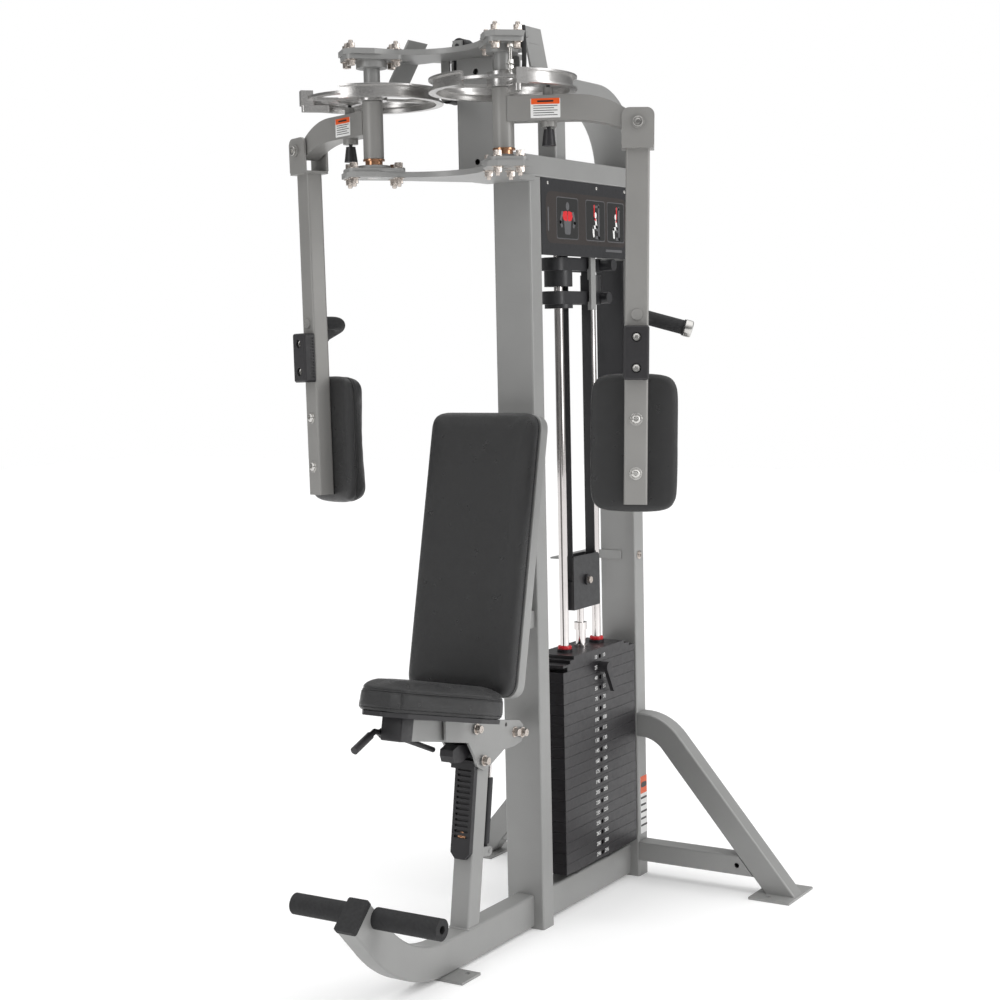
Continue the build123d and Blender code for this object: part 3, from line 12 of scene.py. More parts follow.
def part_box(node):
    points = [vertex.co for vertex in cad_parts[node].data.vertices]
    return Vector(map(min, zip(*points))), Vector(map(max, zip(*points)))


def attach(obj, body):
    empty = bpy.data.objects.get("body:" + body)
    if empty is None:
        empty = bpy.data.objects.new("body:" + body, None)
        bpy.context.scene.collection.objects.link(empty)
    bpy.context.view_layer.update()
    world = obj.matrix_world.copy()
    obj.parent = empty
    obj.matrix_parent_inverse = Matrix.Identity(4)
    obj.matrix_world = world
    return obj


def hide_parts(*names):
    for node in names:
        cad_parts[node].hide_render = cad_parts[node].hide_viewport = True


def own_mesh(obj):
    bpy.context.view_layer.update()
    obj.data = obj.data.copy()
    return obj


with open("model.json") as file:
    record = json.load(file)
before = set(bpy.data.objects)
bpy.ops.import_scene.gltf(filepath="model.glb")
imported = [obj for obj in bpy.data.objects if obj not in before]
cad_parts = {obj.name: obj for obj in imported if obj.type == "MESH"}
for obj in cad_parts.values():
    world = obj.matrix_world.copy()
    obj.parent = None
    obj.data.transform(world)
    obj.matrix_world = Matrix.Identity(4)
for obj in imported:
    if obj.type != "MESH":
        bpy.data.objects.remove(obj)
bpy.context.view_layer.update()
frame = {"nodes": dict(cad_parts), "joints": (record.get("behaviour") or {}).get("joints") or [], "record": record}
SCENE = bpy.context.scene
NODES = frame["nodes"]

# ---- camera --------------------------------------------------------------------------
CAMERA_AT = Vector((2.1894, -3.5455, 1.393))
CAMERA_YAW = math.radians(31.804)
CAMERA_PITCH = math.radians(-5.024)
CAMERA_ROLL = math.radians(-1.189)
camera_data = bpy.data.cameras.new("camera")
camera_data.lens = 65.43
camera_data.sensor_width = 36.0
camera_data.dof.use_dof = False
camera = bpy.data.objects.new("camera", camera_data)
SCENE.collection.objects.link(camera)
ahead = Vector((-math.sin(CAMERA_YAW) * math.cos(CAMERA_PITCH), math.cos(CAMERA_YAW) * math.cos(CAMERA_PITCH),
                math.sin(CAMERA_PITCH)))
level = Vector((math.cos(CAMERA_YAW), math.sin(CAMERA_YAW), 0))
above = level.cross(ahead)
right = level * math.cos(CAMERA_ROLL) + above * math.sin(CAMERA_ROLL)
upward = above * math.cos(CAMERA_ROLL) - level * math.sin(CAMERA_ROLL)
turn = Matrix((right, upward, -ahead)).transposed().to_4x4()
camera.matrix_world = Matrix.Translation(CAMERA_AT) @ turn
SCENE.camera = camera
SCENE.view_settings.view_transform = "Standard"
SCENE.view_settings.look = "None"

# ---- world, floor, lights ------------------------------------------------------------
world = bpy.data.worlds.new("studio")
world.use_nodes = True
SCENE.world = world
sky = world.node_tree
sky_out = sky.nodes["Background"]
sky_out.inputs["Color"].default_value = (1, 1, 1, 1)
sky_coord = sky.nodes.new("ShaderNodeTexCoord")
sky_split = sky.nodes.new("ShaderNodeSeparateXYZ")
sky.links.new(sky_coord.outputs["Generated"], sky_split.inputs[0])


def sky_band(socket, low, high, dark, bright):
    """Brightness that rises with one direction of the sky."""
    band = sky.nodes.new("ShaderNodeMapRange")
    band.interpolation_type = "SMOOTHSTEP"
    band.inputs["From Min"].default_value = low
    band.inputs["From Max"].default_value = high
    band.inputs["To Min"].default_value = dark
    band.inputs["To Max"].default_value = bright
    sky.links.new(sky_split.outputs[socket], band.inputs["Value"])
    return band.outputs["Result"]


def sky_sum(a, b):
    """Sum of two sky brightnesses."""
    add = sky.nodes.new("ShaderNodeMath")
    add.operation = "ADD"
    sky.links.new(a, add.inputs[0])
    sky.links.new(b, add.inputs[1])
    return add.outputs[0]


SKY_TOP = (0.25, 0.95, 0.0, 1.35)
SKY_RIGHT = (0.15, 0.9, 0.0, 0.26)
SKY_FRONT = (-1.0, 0.3, 0.13, 0.22)
glow = sky_sum(sky_band("Z", *SKY_TOP), sky_band("X", *SKY_RIGHT))
glow = sky_sum(glow, sky_band("Y", *SKY_FRONT))
seen = sky.nodes.new("ShaderNodeLightPath")
pick = sky.nodes.new("ShaderNodeMix")
pick.data_type = "FLOAT"
sky.links.new(seen.outputs["Is Camera Ray"], pick.inputs["Factor"])
sky.links.new(glow, pick.inputs["A"])
pick.inputs["B"].default_value = 1.0
sky.links.new(pick.outputs["Result"], sky_out.inputs["Strength"])


def area_light(name, place, target, width, height, power):
    """Soft rectangular studio light aimed at a point."""
    data = bpy.data.lights.new(name, "AREA")
    data.energy = power
    data.shape = "RECTANGLE"
    data.size = width
    data.size_y = height
    light = bpy.data.objects.new(name, data)
    light.location = place
    light.rotation_euler = (Vector(target) - Vector(place)).to_track_quat("-Z", "Y").to_euler()
    SCENE.collection.objects.link(light)


area_light("light_right", (4.6, 0.4, 2.4), (0, 0, 1.0), 1.6, 3.2, 70)
area_light("light_front", (-1.2, -5.0, 2.8), (0, 0, 1.1), 1.6, 2.4, 44)

# ---- node materials ------------------------------------------------------------------


class Paint:
    """A procedural material: colour, roughness and relief driven by noises in metres."""

    def __init__(self, name, colour, rough, metal=0.0, **extra):
        self.mat = bpy.data.materials.new(name)
        self.mat.use_nodes = True
        self.tree = self.mat.node_tree
        self.shader = self.tree.nodes["Principled BSDF"]
        self.shader.inputs["Base Color"].default_value = (*colour, 1)
        self.shader.inputs["Roughness"].default_value = rough
        self.shader.inputs["Metallic"].default_value = metal
        for socket, value in extra.items():
            self.shader.inputs[socket.replace("_", " ")].default_value = value
        self.colour = colour
        self.rough = rough
        self.place = self.tree.nodes.new("ShaderNodeTexCoord").outputs["Object"]
        self.normal = None

    def stretched(self, scale):
        """The place, stretched by a scale per axis."""
        mapping = self.tree.nodes.new("ShaderNodeMapping")
        mapping.inputs["Scale"].default_value = scale
        self.tree.links.new(self.place, mapping.inputs["Vector"])
        return mapping.outputs["Vector"]

    def noise(self, scale, detail=3.0, vector=None):
        """Soft noise with features about one over scale metres across."""
        node = self.tree.nodes.new("ShaderNodeTexNoise")
        node.inputs["Scale"].default_value = scale
        node.inputs["Detail"].default_value = detail
        self.tree.links.new(vector or self.place, node.inputs["Vector"])
        return node.outputs["Fac"]

    def cells(self, scale, feature="DISTANCE_TO_EDGE"):
        """Cell pattern, as in grained vinyl."""
        node = self.tree.nodes.new("ShaderNodeTexVoronoi")
        node.feature = feature
        node.inputs["Scale"].default_value = scale
        self.tree.links.new(self.place, node.inputs["Vector"])
        return node.outputs["Distance"]

    def spread(self, value, dark, bright, low=0.3, high=0.7):
        """A value mapped onto another range."""
        node = self.tree.nodes.new("ShaderNodeMapRange")
        for socket, number in (("From Min", low), ("From Max", high), ("To Min", dark), ("To Max", bright)):
            node.inputs[socket].default_value = number
        self.tree.links.new(value, node.inputs["Value"])
        return node.outputs["Result"]

    def mottle(self, value, amount, tint=(1, 1, 1)):
        """Varies the colour around its own value."""
        node = self.tree.nodes.new("ShaderNodeMix")
        node.data_type = "RGBA"
        low = [c * (1 - amount) for c in self.colour]
        high = [min(1, c * (1 + amount) * t) for c, t in zip(self.colour, tint)]
        node.inputs["A"].default_value = (*low, 1)
        node.inputs["B"].default_value = (*high, 1)
        self.tree.links.new(value, node.inputs["Factor"])
        self.tree.links.new(node.outputs["Result"], self.shader.inputs["Base Color"])
        return self

    def uneven(self, value, amount):
        """Varies the roughness around its own value."""
        gloss = self.spread(value, self.rough - amount, self.rough + amount)
        self.tree.links.new(gloss, self.shader.inputs["Roughness"])
        return self

    def relief(self, value, depth, strength=1.0):
        """Adds a bump of a depth in metres."""
        node = self.tree.nodes.new("ShaderNodeBump")
        node.inputs["Strength"].default_value = strength
        node.inputs["Distance"].default_value = depth
        self.tree.links.new(value, node.inputs["Height"])
        if self.normal:
            self.tree.links.new(self.normal, node.inputs["Normal"])
        self.normal = node.outputs["Normal"]
        self.tree.links.new(self.normal, self.shader.inputs["Normal"])
        return self

    def worn_edges(self, radius):
        """Rounds sharp machined edges in the shading."""
        node = self.tree.nodes.new("ShaderNodeBevel")
        node.samples = 4
        node.inputs["Radius"].default_value = radius
        self.normal = node.outputs["Normal"]
        self.tree.links.new(self.normal, self.shader.inputs["Normal"])
        return self


def silver_paint(name, colour):
    """Powder coat with fine orange peel and a slight metallic fleck."""
    paint = Paint(name, colour, 0.42, 0.25)
    paint.worn_edges(0.0012)
    fleck = paint.noise(2600, 1.0)
    paint.mottle(paint.spread(paint.noise(9, 4), 0.25, 0.75), 0.07)
    paint.uneven(fleck, 0.07)
    paint.relief(paint.noise(520, 2.0), 0.00012, 0.5)
    return paint.mat


SILVER = silver_paint("silver_powder_coat", (0.30, 0.30, 0.295))
WARM_SILVER = silver_paint("arm_powder_coat", (0.27, 0.265, 0.255))


def vinyl(name, colour):
    """Grained upholstery vinyl with soft creases."""
    paint = Paint(name, colour, 0.35, 0.0, Specular_IOR_Level=0.5, Sheen_Weight=0.08)
    grain = paint.cells(720)
    paint.mottle(paint.noise(38, 5), 0.22)
    paint.uneven(paint.noise(60, 4), 0.08)
    paint.relief(paint.noise(26, 3.0), 0.0012, 0.35)
    paint.relief(paint.spread(grain, 0.0, 1.0, 0.0, 0.28), 0.00022, 0.9)
    paint.relief(paint.noise(2400, 2.0), 0.00006, 0.6)
    return paint.mat


VINYL = vinyl("black_vinyl", (0.0115, 0.0115, 0.012))
PIPING = vinyl("vinyl_piping", (0.010, 0.010, 0.0105))


def moulded(name, colour, rough, depth=0.00008):
    """Moulded plastic or rubber with a fine spark texture."""
    paint = Paint(name, colour, rough)
    paint.worn_edges(0.0008)
    paint.mottle(paint.noise(30, 4), 0.15)
    paint.uneven(paint.noise(140, 3), 0.06)
    paint.relief(paint.noise(1500, 2.0), depth, 0.6)
    return paint.mat


PLASTIC = moulded("black_plastic", (0.018, 0.017, 0.019), 0.42)
RUBBER = moulded("black_rubber", (0.012, 0.012, 0.012), 0.62, 0.00015)
FOAM = moulded("foam_grip", (0.014, 0.014, 0.015), 0.75, 0.0004)
RED_PLASTIC = moulded("red_bushing", (0.62, 0.012, 0.02), 0.30)
BELT = moulded("belt_fabric", (0.016, 0.016, 0.018), 0.55, 0.0002)


def black_coat(name, colour, rough, scale):
    """Black paint on steel with a fine texture."""
    paint = Paint(name, colour, rough, 0.0)
    paint.worn_edges(0.0008)
    paint.mottle(paint.noise(22, 5), 0.18)
    paint.uneven(paint.noise(90, 4), 0.07)
    paint.relief(paint.noise(scale, 3.0), 0.00012, 0.7)
    return paint.mat


BLACK_COAT = black_coat("black_coat", (0.018, 0.018, 0.020), 0.38, 900)
STACK_COAT = black_coat("stack_coat", (0.016, 0.0145, 0.0165), 0.36, 1300)


def metal(name, colour, rough, grain=None, depth=0.00004, edges=0.0006):
    """Bare metal, with drawn or turned marks along the stretched axes."""
    paint = Paint(name, colour, rough, 1.0)
    if edges:
        paint.worn_edges(edges)
    paint.mottle(paint.noise(45, 4), 0.08)
    marks = paint.noise(1.0, 3.0, paint.stretched(grain)) if grain else paint.noise(900, 2.0)
    paint.uneven(marks, rough * 0.4)
    paint.relief(marks, depth, 0.5)
    return paint.mat


CHROME = metal("chrome_rod", (0.66, 0.63, 0.62), 0.08, (1400, 1400, 60), 0.000008, None)
STEEL = metal("machined_steel", (0.56, 0.55, 0.53), 0.24, (900, 900, 2600))
ZINC = metal("zinc_bolt", (0.52, 0.47, 0.43), 0.26)
BRONZE = metal("bronze_bush", (0.50, 0.27, 0.16), 0.25, (900, 900, 3000))
CAM_METAL = metal("cam_aluminium", (0.52, 0.51, 0.50), 0.30, (700, 700, 2200), 0.00006)
WHITE_PRINT = Paint("white_print", (0.80, 0.80, 0.79), 0.45).mat
ORANGE_PRINT = Paint("orange_print", (0.80, 0.10, 0.012), 0.40).mat
BLACK_PRINT = Paint("black_print", (0.012, 0.012, 0.012), 0.40).mat

FINISH = {
    "black_plastic": PLASTIC, "black_rubber": RUBBER, "black_paint": BLACK_COAT, "stack_black": STACK_COAT,
    "chrome": CHROME, "bright_steel": STEEL, "bronze": BRONZE, "belt": BELT, "cam_aluminium": CAM_METAL,
    "silver_paint": SILVER, "sign": BLACK_COAT, "upholstery": VINYL,
}
OWN_FINISH = {"footrest_bar": FOAM, "right_grip": FOAM, "left_grip": FOAM}
for part in frame["record"]["subparts"]:
    node = NODES[part["node"]]
    finish = OWN_FINISH.get(part["node"], FINISH[part["material_slot"]])
    if "arm" in part["node"] and part["material_slot"] == "silver_paint":
        finish = WARM_SILVER
    node.data.materials.clear()
    node.data.materials.append(finish)


# ---- floor ---------------------------------------------------------------------------
FLOOR_HALF = 14.0
floor_mesh = bpy.data.meshes.new("floor")
floor_mesh.from_pydata([(-FLOOR_HALF, -FLOOR_HALF, 0), (FLOOR_HALF, -FLOOR_HALF, 0),
                        (FLOOR_HALF, FLOOR_HALF, 0), (-FLOOR_HALF, FLOOR_HALF, 0)], [], [(0, 1, 2, 3)])
floor = bpy.data.objects.new("floor", floor_mesh)
floor_mesh.materials.append(Paint("floor_white", (0.93, 0.93, 0.93), 0.75, Emission_Color=(1, 1, 1, 1),
                                  Emission_Strength=0.12).mat)
SCENE.collection.objects.link(floor)

# ---- places ----------------------------------------------------------------------------
MM = 0.001
UP = Vector((0, 0, 1))
EAST = Vector((1, 0, 0))
NORTH = Vector((0, 1, 0))
JOINTS = {joint["name"]: joint for joint in frame["joints"]}
FRONT_FACE = 78.0         # front face of the tower in the drawing, mm
DRAWING_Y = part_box("front_upright")[0][1] / MM - FRONT_FACE


def at(x, y, z):
    """A place given in the drawing's millimetres."""
    return Vector((x, y + DRAWING_Y, z)) * MM


def corners(node):
    """Every vertex of a CAD node."""
    return [v.co for v in NODES[node].data.vertices]


def surface(*nodes):
    """Search tree of some CAD nodes' surfaces."""
    points = []
    faces = []
    for node in nodes:
        start = len(points)
        points += corners(node)
        faces += [[start + i for i in p.vertices] for p in NODES[node].data.polygons]
    return BVHTree.FromPolygons(points, faces)


def touch(tree, start, direction):
    """Where a line first meets a surface."""
    place, normal, _, _ = tree.ray_cast(start, direction)
    if place is None:
        raise ValueError(f"no surface from {tuple(start)}")
    return place


def node_frame(node, x, y, z):
    """Matrix at the middle of a node's lowest plane along z, and its size along the three axes."""
    spans = []
    for axis in (x, y, z):
        reach = [point.dot(axis) for point in corners(node)]
        spans.append((min(reach), max(reach)))
    place = x * sum(spans[0]) / 2 + y * sum(spans[1]) / 2 + z * spans[2][0]
    turned = Matrix((x, y, z)).transposed().to_4x4()
    return Matrix.Translation(place) @ turned, [high - low for low, high in spans]


HARD_SHARP = 35           # degrees above which an edge is sharp, on hard and on soft pieces
SOFT_SHARP = 60


def piece(name, shape, materials, body, sharp=HARD_SHARP):
    """Makes a piece of a bmesh, and rides it on a body."""
    bmesh.ops.recalc_face_normals(shape, faces=shape.faces[:])
    mesh = bpy.data.meshes.new(name)
    shape.to_mesh(mesh)
    shape.free()
    for face in mesh.polygons:
        face.use_smooth = True
    mesh.set_sharp_from_angle(angle=math.radians(sharp))
    for material in materials:
        mesh.materials.append(material)
    made = bpy.data.objects.new(name, mesh)
    SCENE.collection.objects.link(made)
    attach(made, body)
    return made


class Side:
    """Directions and places of one arm: along it, across it to the back, and down the lower arm."""
    LEAN = math.radians(1.2)

    def __init__(self, name, sign):
        yoke = JOINTS[name + "_yoke"]
        self.name = name
        self.sign = sign
        self.across = Vector(yoke["axis"]).normalized()
        self.along = self.across.cross(UP) * sign
        self.hinge = Vector(yoke["pos_m"])
        self.pivot = Vector(JOINTS[name + "_start_position"]["pos_m"])
        self.out = self.along * math.cos(self.LEAN) - UP * math.sin(self.LEAN)
        self.rise = UP * math.cos(self.LEAN) + self.along * math.sin(self.LEAN)
        column = Vector((0, JOINTS[name + "_low_roller_spin"]["pos_m"][1], 0))
        self.wing = ((self.pivot - column) * Vector((1, 1, 0))).normalized()
        self.wing_side = self.wing.cross(UP) * -sign

    def hung(self, out, across, z):
        """A place on the lower arm, in the drawing's millimetres."""
        return self.hinge + (self.out * out + self.across * across) * MM + self.rise * (z * MM - self.hinge.z)

    def arm(self, along, across, z):
        """A place on the upper arm, in the drawing's millimetres."""
        place = self.pivot + (self.along * along + self.across * across) * MM
        return Vector((place.x, place.y, z * MM))

    def head(self, along, across, z):
        """A place on this side's wing of the head."""
        place = self.pivot + (self.wing * along + self.wing_side * across) * MM
        return Vector((place.x, place.y, z * MM))


SIDES = [Side("right", 1), Side("left", -1)]

# ---- turned and pressed shapes -----------------------------------------------------------
ROUND_STEPS = 24
SIXTH = math.pi / 3


def ringed(shape, place, direction, rings, scale=MM):
    """A turned shape from (radius, height, hexagonal) rings."""
    turn_to = direction.to_track_quat("Z", "Y")
    loops = []
    for radius, height, hexagon in rings:
        loop = []
        for step in range(ROUND_STEPS):
            angle = 2 * math.pi * step / ROUND_STEPS
            reach = radius
            if hexagon:
                reach = radius * math.cos(SIXTH / 2) / math.cos(angle % SIXTH - SIXTH / 2)
            spot = Vector((reach * math.cos(angle), reach * math.sin(angle), height)) * scale
            loop.append(shape.verts.new(place + turn_to @ spot))
        loops.append(loop)
    for low, high in zip(loops, loops[1:]):
        for step in range(ROUND_STEPS):
            after = (step + 1) % ROUND_STEPS
            shape.faces.new((low[step], low[after], high[after], high[step]))
    shape.faces.new(loops[0][::-1])
    shape.faces.new(loops[-1])


def hex_head(shape, place, direction, size):
    """Washer and chamfered hexagon head of a bolt or nut; size is across the corners."""
    r = size / 2
    ringed(shape, place, direction, [
        (r * 1.32, 0, False), (r * 1.32, 1.4, False), (r * 1.26, 1.8, False), (r, 1.8, True),
        (r, 1.8 + r * 0.95, True), (r * 0.88, 1.8 + r * 1.12, False), (r * 0.5, 1.8 + r * 1.12, False),
        (r * 0.46, 1.8 + r * 1.05, False)])


def stud_end(shape, place, direction, size):
    """Nut with a domed thread end standing out of it."""
    hex_head(shape, place, direction, size)
    r = size / 2
    thread = [(r * 0.5, r, False), (r * 0.5, r * 1.75, False), (r * 0.38, r * 1.95, False)]
    ringed(shape, place, direction, thread)


def socket_head(shape, place, direction, radius, height):
    """Cap screw with a hexagon socket."""
    ringed(shape, place, direction, [
        (radius, 0, False), (radius, height * 0.86, False), (radius * 0.92, height, False),
        (radius * 0.62, height, False), (radius * 0.52, height * 0.94, True),
        (radius * 0.50, height * 0.4, True)])


def button_head(shape, place, direction, radius):
    """Low domed screw with a hexagon socket."""
    ringed(shape, place, direction, [
        (radius, 0, False), (radius, radius * 0.14, False), (radius * 0.92, radius * 0.32, False),
        (radius * 0.74, radius * 0.5, False), (radius * 0.46, radius * 0.58, False),
        (radius * 0.36, radius * 0.56, True), (radius * 0.34, radius * 0.22, True)])


def collar(shape, place, direction, inner, outer, height):
    """Rounded ring standing around a rod."""
    ringed(shape, place, direction, [
        (inner, 0, False), (outer * 0.96, 0, False), (outer, height * 0.15, False),
        (outer, height * 0.8, False), (outer * 0.93, height, False), (inner, height, False)])


def block(shape, matrix, size, edge):
    """A block with rounded edges, centred on a matrix; millimetres."""
    made = bmesh.ops.create_cube(shape, size=1.0)["verts"]
    for vert in made:
        vert.co = Vector([c * s * MM for c, s in zip(vert.co, size)])
    edges = list({e for v in made for e in v.link_edges})
    bevelled = bmesh.ops.bevel(shape, geom=made + edges, offset=edge * MM, segments=3, affect="EDGES",
                               profile=0.5)
    verts = {v for face in bevelled["faces"] for v in face.verts}
    verts |= {v for v in made if v.is_valid}
    for vert in verts:
        vert.co = matrix @ vert.co


def plate(shape, matrix, outline, low, high):
    """A flat sheet of any outline between two heights; metres."""
    rings = [[shape.verts.new(matrix @ Vector((x, y, height))) for x, y in outline] for height in (low, high)]
    shape.faces.new(rings[0][::-1])
    shape.faces.new(rings[1])
    for step in range(len(outline)):
        after = (step + 1) % len(outline)
        shape.faces.new((rings[0][step], rings[0][after], rings[1][after], rings[1][step]))


def rounded(points, radius, steps=6):
    """A polygon's outline with its corners rounded."""
    outline = []
    count = len(points)
    for i, corner in enumerate(points):
        corner = Vector(corner)
        before = Vector(points[i - 1]) - corner
        after = Vector(points[(i + 1) % count]) - corner
        reach = min(radius, before.length * 0.48, after.length * 0.48)
        first = corner + before.normalized() * reach
        last = corner + after.normalized() * reach
        for step in range(steps + 1):
            t = step / steps
            outline.append(first * (1 - t) ** 2 + corner * 2 * t * (1 - t) + last * t * t)
    return outline


def rectangle(width, height, radius):
    """Rounded rectangle about the origin."""
    w, h = width / 2, height / 2
    return rounded([(-w, -h), (w, -h), (w, h), (-w, h)], radius)


def tube_along(shape, points, normals, radius, closed, material=0, sides=8):
    """A thin round cord lying along points on a surface."""
    count = len(points)
    loops = []
    for i, (point, normal) in enumerate(zip(points, normals)):
        before = points[i - 1] if closed or i else point
        after = points[(i + 1) % count] if closed or i < count - 1 else point
        tangent = (after - before).normalized()
        sideways = tangent.cross(normal).normalized()
        lift = sideways.cross(tangent)
        loops.append([shape.verts.new(point + (sideways * math.cos(a) + lift * math.sin(a)) * radius)
                      for a in [2 * math.pi * k / sides for k in range(sides)]])
    for i in range(count if closed else count - 1):
        low, high = loops[i], loops[(i + 1) % count]
        for k in range(sides):
            face = shape.faces.new((low[k], low[(k + 1) % sides], high[(k + 1) % sides], high[k]))
            face.material_index = material
    if not closed:
        for loop in (loops[0], loops[-1]):
            shape.faces.new(loop).material_index = material


# ---- cushions ------------------------------------------------------------------------------


def evenly(outline, spacing):
    """An outline with points at an even spacing."""
    points = []
    for i, point in enumerate(outline):
        after = outline[(i + 1) % len(outline)]
        steps = max(1, round((after - point).length / spacing))
        points += [point.lerp(after, k / steps) for k in range(steps)]
    return points


def outward(outline, i):
    """Direction out of an outline that runs anticlockwise, at one of its points."""
    run = outline[(i + 1) % len(outline)] - outline[i - 1]
    return Vector((run.y, -run.x)).normalized()


def inset(outline, distance):
    """An outline moved inwards."""
    return [point - outward(outline, i) * distance for i, point in enumerate(outline)]


def pad_shape(outline, thickness, edge, base_edge):
    """Closed pad of an outline, with rounded upper and lower edges."""
    shape = bmesh.new()
    profile = []
    for step in range(5):
        angle = math.pi / 2 * step / 4
        profile.append((base_edge * (1 - math.sin(angle)), base_edge * (1 - math.cos(angle))))
    for step in range(7):
        angle = math.pi / 2 * step / 6
        profile.append((edge * (1 - math.cos(angle)), thickness - edge * (1 - math.sin(angle))))
    loops = []
    for distance, height in profile:
        loops.append([shape.verts.new((*point, height)) for point in inset(outline, distance)])
    for low, high in zip(loops, loops[1:]):
        for i in range(len(outline)):
            after = (i + 1) % len(outline)
            shape.faces.new((low[i], low[after], high[after], high[i]))
    shape.faces.new(loops[0][::-1])
    shape.faces.new(loops[-1])
    return shape


VOXEL = 0.005
CLOTH_FRAMES = 20
PRESSURE = 4.0
HOLD_BELOW = 0.004


def current_mesh(made):
    """The mesh that an object's modifiers give now."""
    graph = bpy.context.evaluated_depsgraph_get()
    return bpy.data.meshes.new_from_object(made.evaluated_get(graph))


def inflated(name, shape, cap):
    """Pad mesh swollen by a cloth simulation, held at its back plane and never moved beyond a cap."""
    mesh = bpy.data.meshes.new(name)
    shape.to_mesh(mesh)
    shape.free()
    made = bpy.data.objects.new(name, mesh)
    SCENE.collection.objects.link(made)
    remesh = made.modifiers.new("even", "REMESH")
    remesh.mode = "VOXEL"
    remesh.voxel_size = VOXEL
    made.data = current_mesh(made)
    made.modifiers.clear()
    start = [v.co.copy() for v in made.data.vertices]
    held = made.vertex_groups.new(name="held")
    held.add([i for i, co in enumerate(start) if co.z < HOLD_BELOW], 1.0, "REPLACE")
    cloth = made.modifiers.new("cloth", "CLOTH")
    cloth.settings.quality = 5
    cloth.settings.use_pressure = True
    cloth.settings.uniform_pressure_force = PRESSURE
    cloth.settings.effector_weights.gravity = 0
    cloth.settings.vertex_group_mass = "held"
    for step in range(1, CLOTH_FRAMES + 1):
        SCENE.frame_set(step)
    made.data = current_mesh(made)
    made.modifiers.clear()
    for vert, first in zip(made.data.vertices, start):
        moved = vert.co - first
        if moved.length > cap:
            vert.co = first + moved.normalized() * cap
    SCENE.frame_set(1)
    calm = made.modifiers.new("calm", "SMOOTH")
    calm.factor = 0.5
    calm.iterations = 12
    finer = made.modifiers.new("finer", "SUBSURF")
    finer.levels = 1
    shape = bmesh.new()
    shape.from_mesh(current_mesh(made))
    bpy.data.objects.remove(made)
    return shape


class Cushion:
    """A swollen pad in its own frame, whose seams are pulled in after the simulation."""
    OUTLINE_STEP = 0.008
    GROOVE = 0.0035           # half width of the dip along a seam
    SPACING = 0.003           # between the points of a seam
    THREAD = 0.0005
    REACH = 0.06              # from which the seams are projected onto the pad

    def __init__(self, name, outline, thickness, edge, base_edge, cap):
        self.name = name
        self.outline = evenly(outline, self.OUTLINE_STEP)
        self.thickness = thickness
        self.shape = inflated(name, pad_shape(self.outline, thickness, edge, base_edge), cap)
        self.tree = BVHTree.FromBMesh(self.shape)
        self.cords = []
        self.marks = []

    def round_loop(self, height):
        """Seam all round the sides at a height."""
        points, normals = [], []
        loop = evenly(self.outline, self.SPACING)
        for i, point in enumerate(loop):
            away = outward(loop, i).to_3d()
            start = Vector((*point, height)) + away * self.REACH
            place, normal, _, _ = self.tree.ray_cast(start, -away)
            if place is not None:
                points.append(place)
                normals.append(normal)
        return points, normals

    def down_line(self, point, low, high):
        """Upright seam on the side at the outline point nearest to a place."""
        i = min(range(len(self.outline)), key=lambda k: (self.outline[k] - Vector(point)).length)
        away = outward(self.outline, i).to_3d()
        points, normals = [], []
        steps = round((high - low) / self.SPACING)
        for step in range(steps + 1):
            height = low + (high - low) * step / steps
            start = Vector((*self.outline[i], height)) + away * self.REACH
            place, normal, _, _ = self.tree.ray_cast(start, -away)
            if place is not None:
                points.append(place)
                normals.append(normal)
        return points, normals

    def stitch(self, line):
        """Lays short stitches along a line."""
        points, normals = line
        for i in range(0, len(points) - 2, 2):
            self.cords.append((points[i:i + 2], normals[i:i + 2], self.THREAD, False))

    def sew(self, line, depth, cord_radius, closed=True):
        """Pulls the pad in along a seam and lays a cord in it."""
        points, normals = line
        self.marks += [(point, depth) for point in points]
        if cord_radius:
            sunk = [p - n * (depth - cord_radius * 0.5) for p, n in zip(points, normals)]
            self.cords.append((sunk, normals, cord_radius, closed))

    def finish(self, matrix, body, nodes, fill):
        """Cuts the seams, adds the cords and places the pad on its body."""
        if self.marks:
            near = KDTree(len(self.marks))
            for i, (point, _) in enumerate(self.marks):
                near.insert(point, i)
            near.balance()
            self.shape.normal_update()
            moves = []
            for vert in self.shape.verts:
                _, i, distance = near.find(vert.co)
                if distance < self.GROOVE * 3:
                    depth = self.marks[i][1] * math.exp(-(distance / self.GROOVE) ** 2)
                    moves.append((vert, vert.normal * depth))
            for vert, move in moves:
                vert.co -= move
        for points, normals, radius, closed in self.cords:
            tube_along(self.shape, points, normals, radius, closed, 1)
        self.shape.transform(matrix)
        made = piece(self.name, self.shape, (VINYL, PIPING), body, SOFT_SHARP)
        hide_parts(*nodes)
        return made


LEAN_BACK = math.radians(12.3)
BACK_RISE = Vector((0, math.sin(LEAN_BACK), math.cos(LEAN_BACK)))
BACK_OUT = Vector((0, -math.cos(LEAN_BACK), math.sin(LEAN_BACK)))
SEAT_TILT = math.radians(12.0)
SEAT_UP = Vector((0, math.sin(SEAT_TILT), math.cos(SEAT_TILT)))
SEAT_BACK = Vector((0, math.cos(SEAT_TILT), -math.sin(SEAT_TILT)))
SWELL = 0.0005            # the pads start this much smaller than the CAD solids

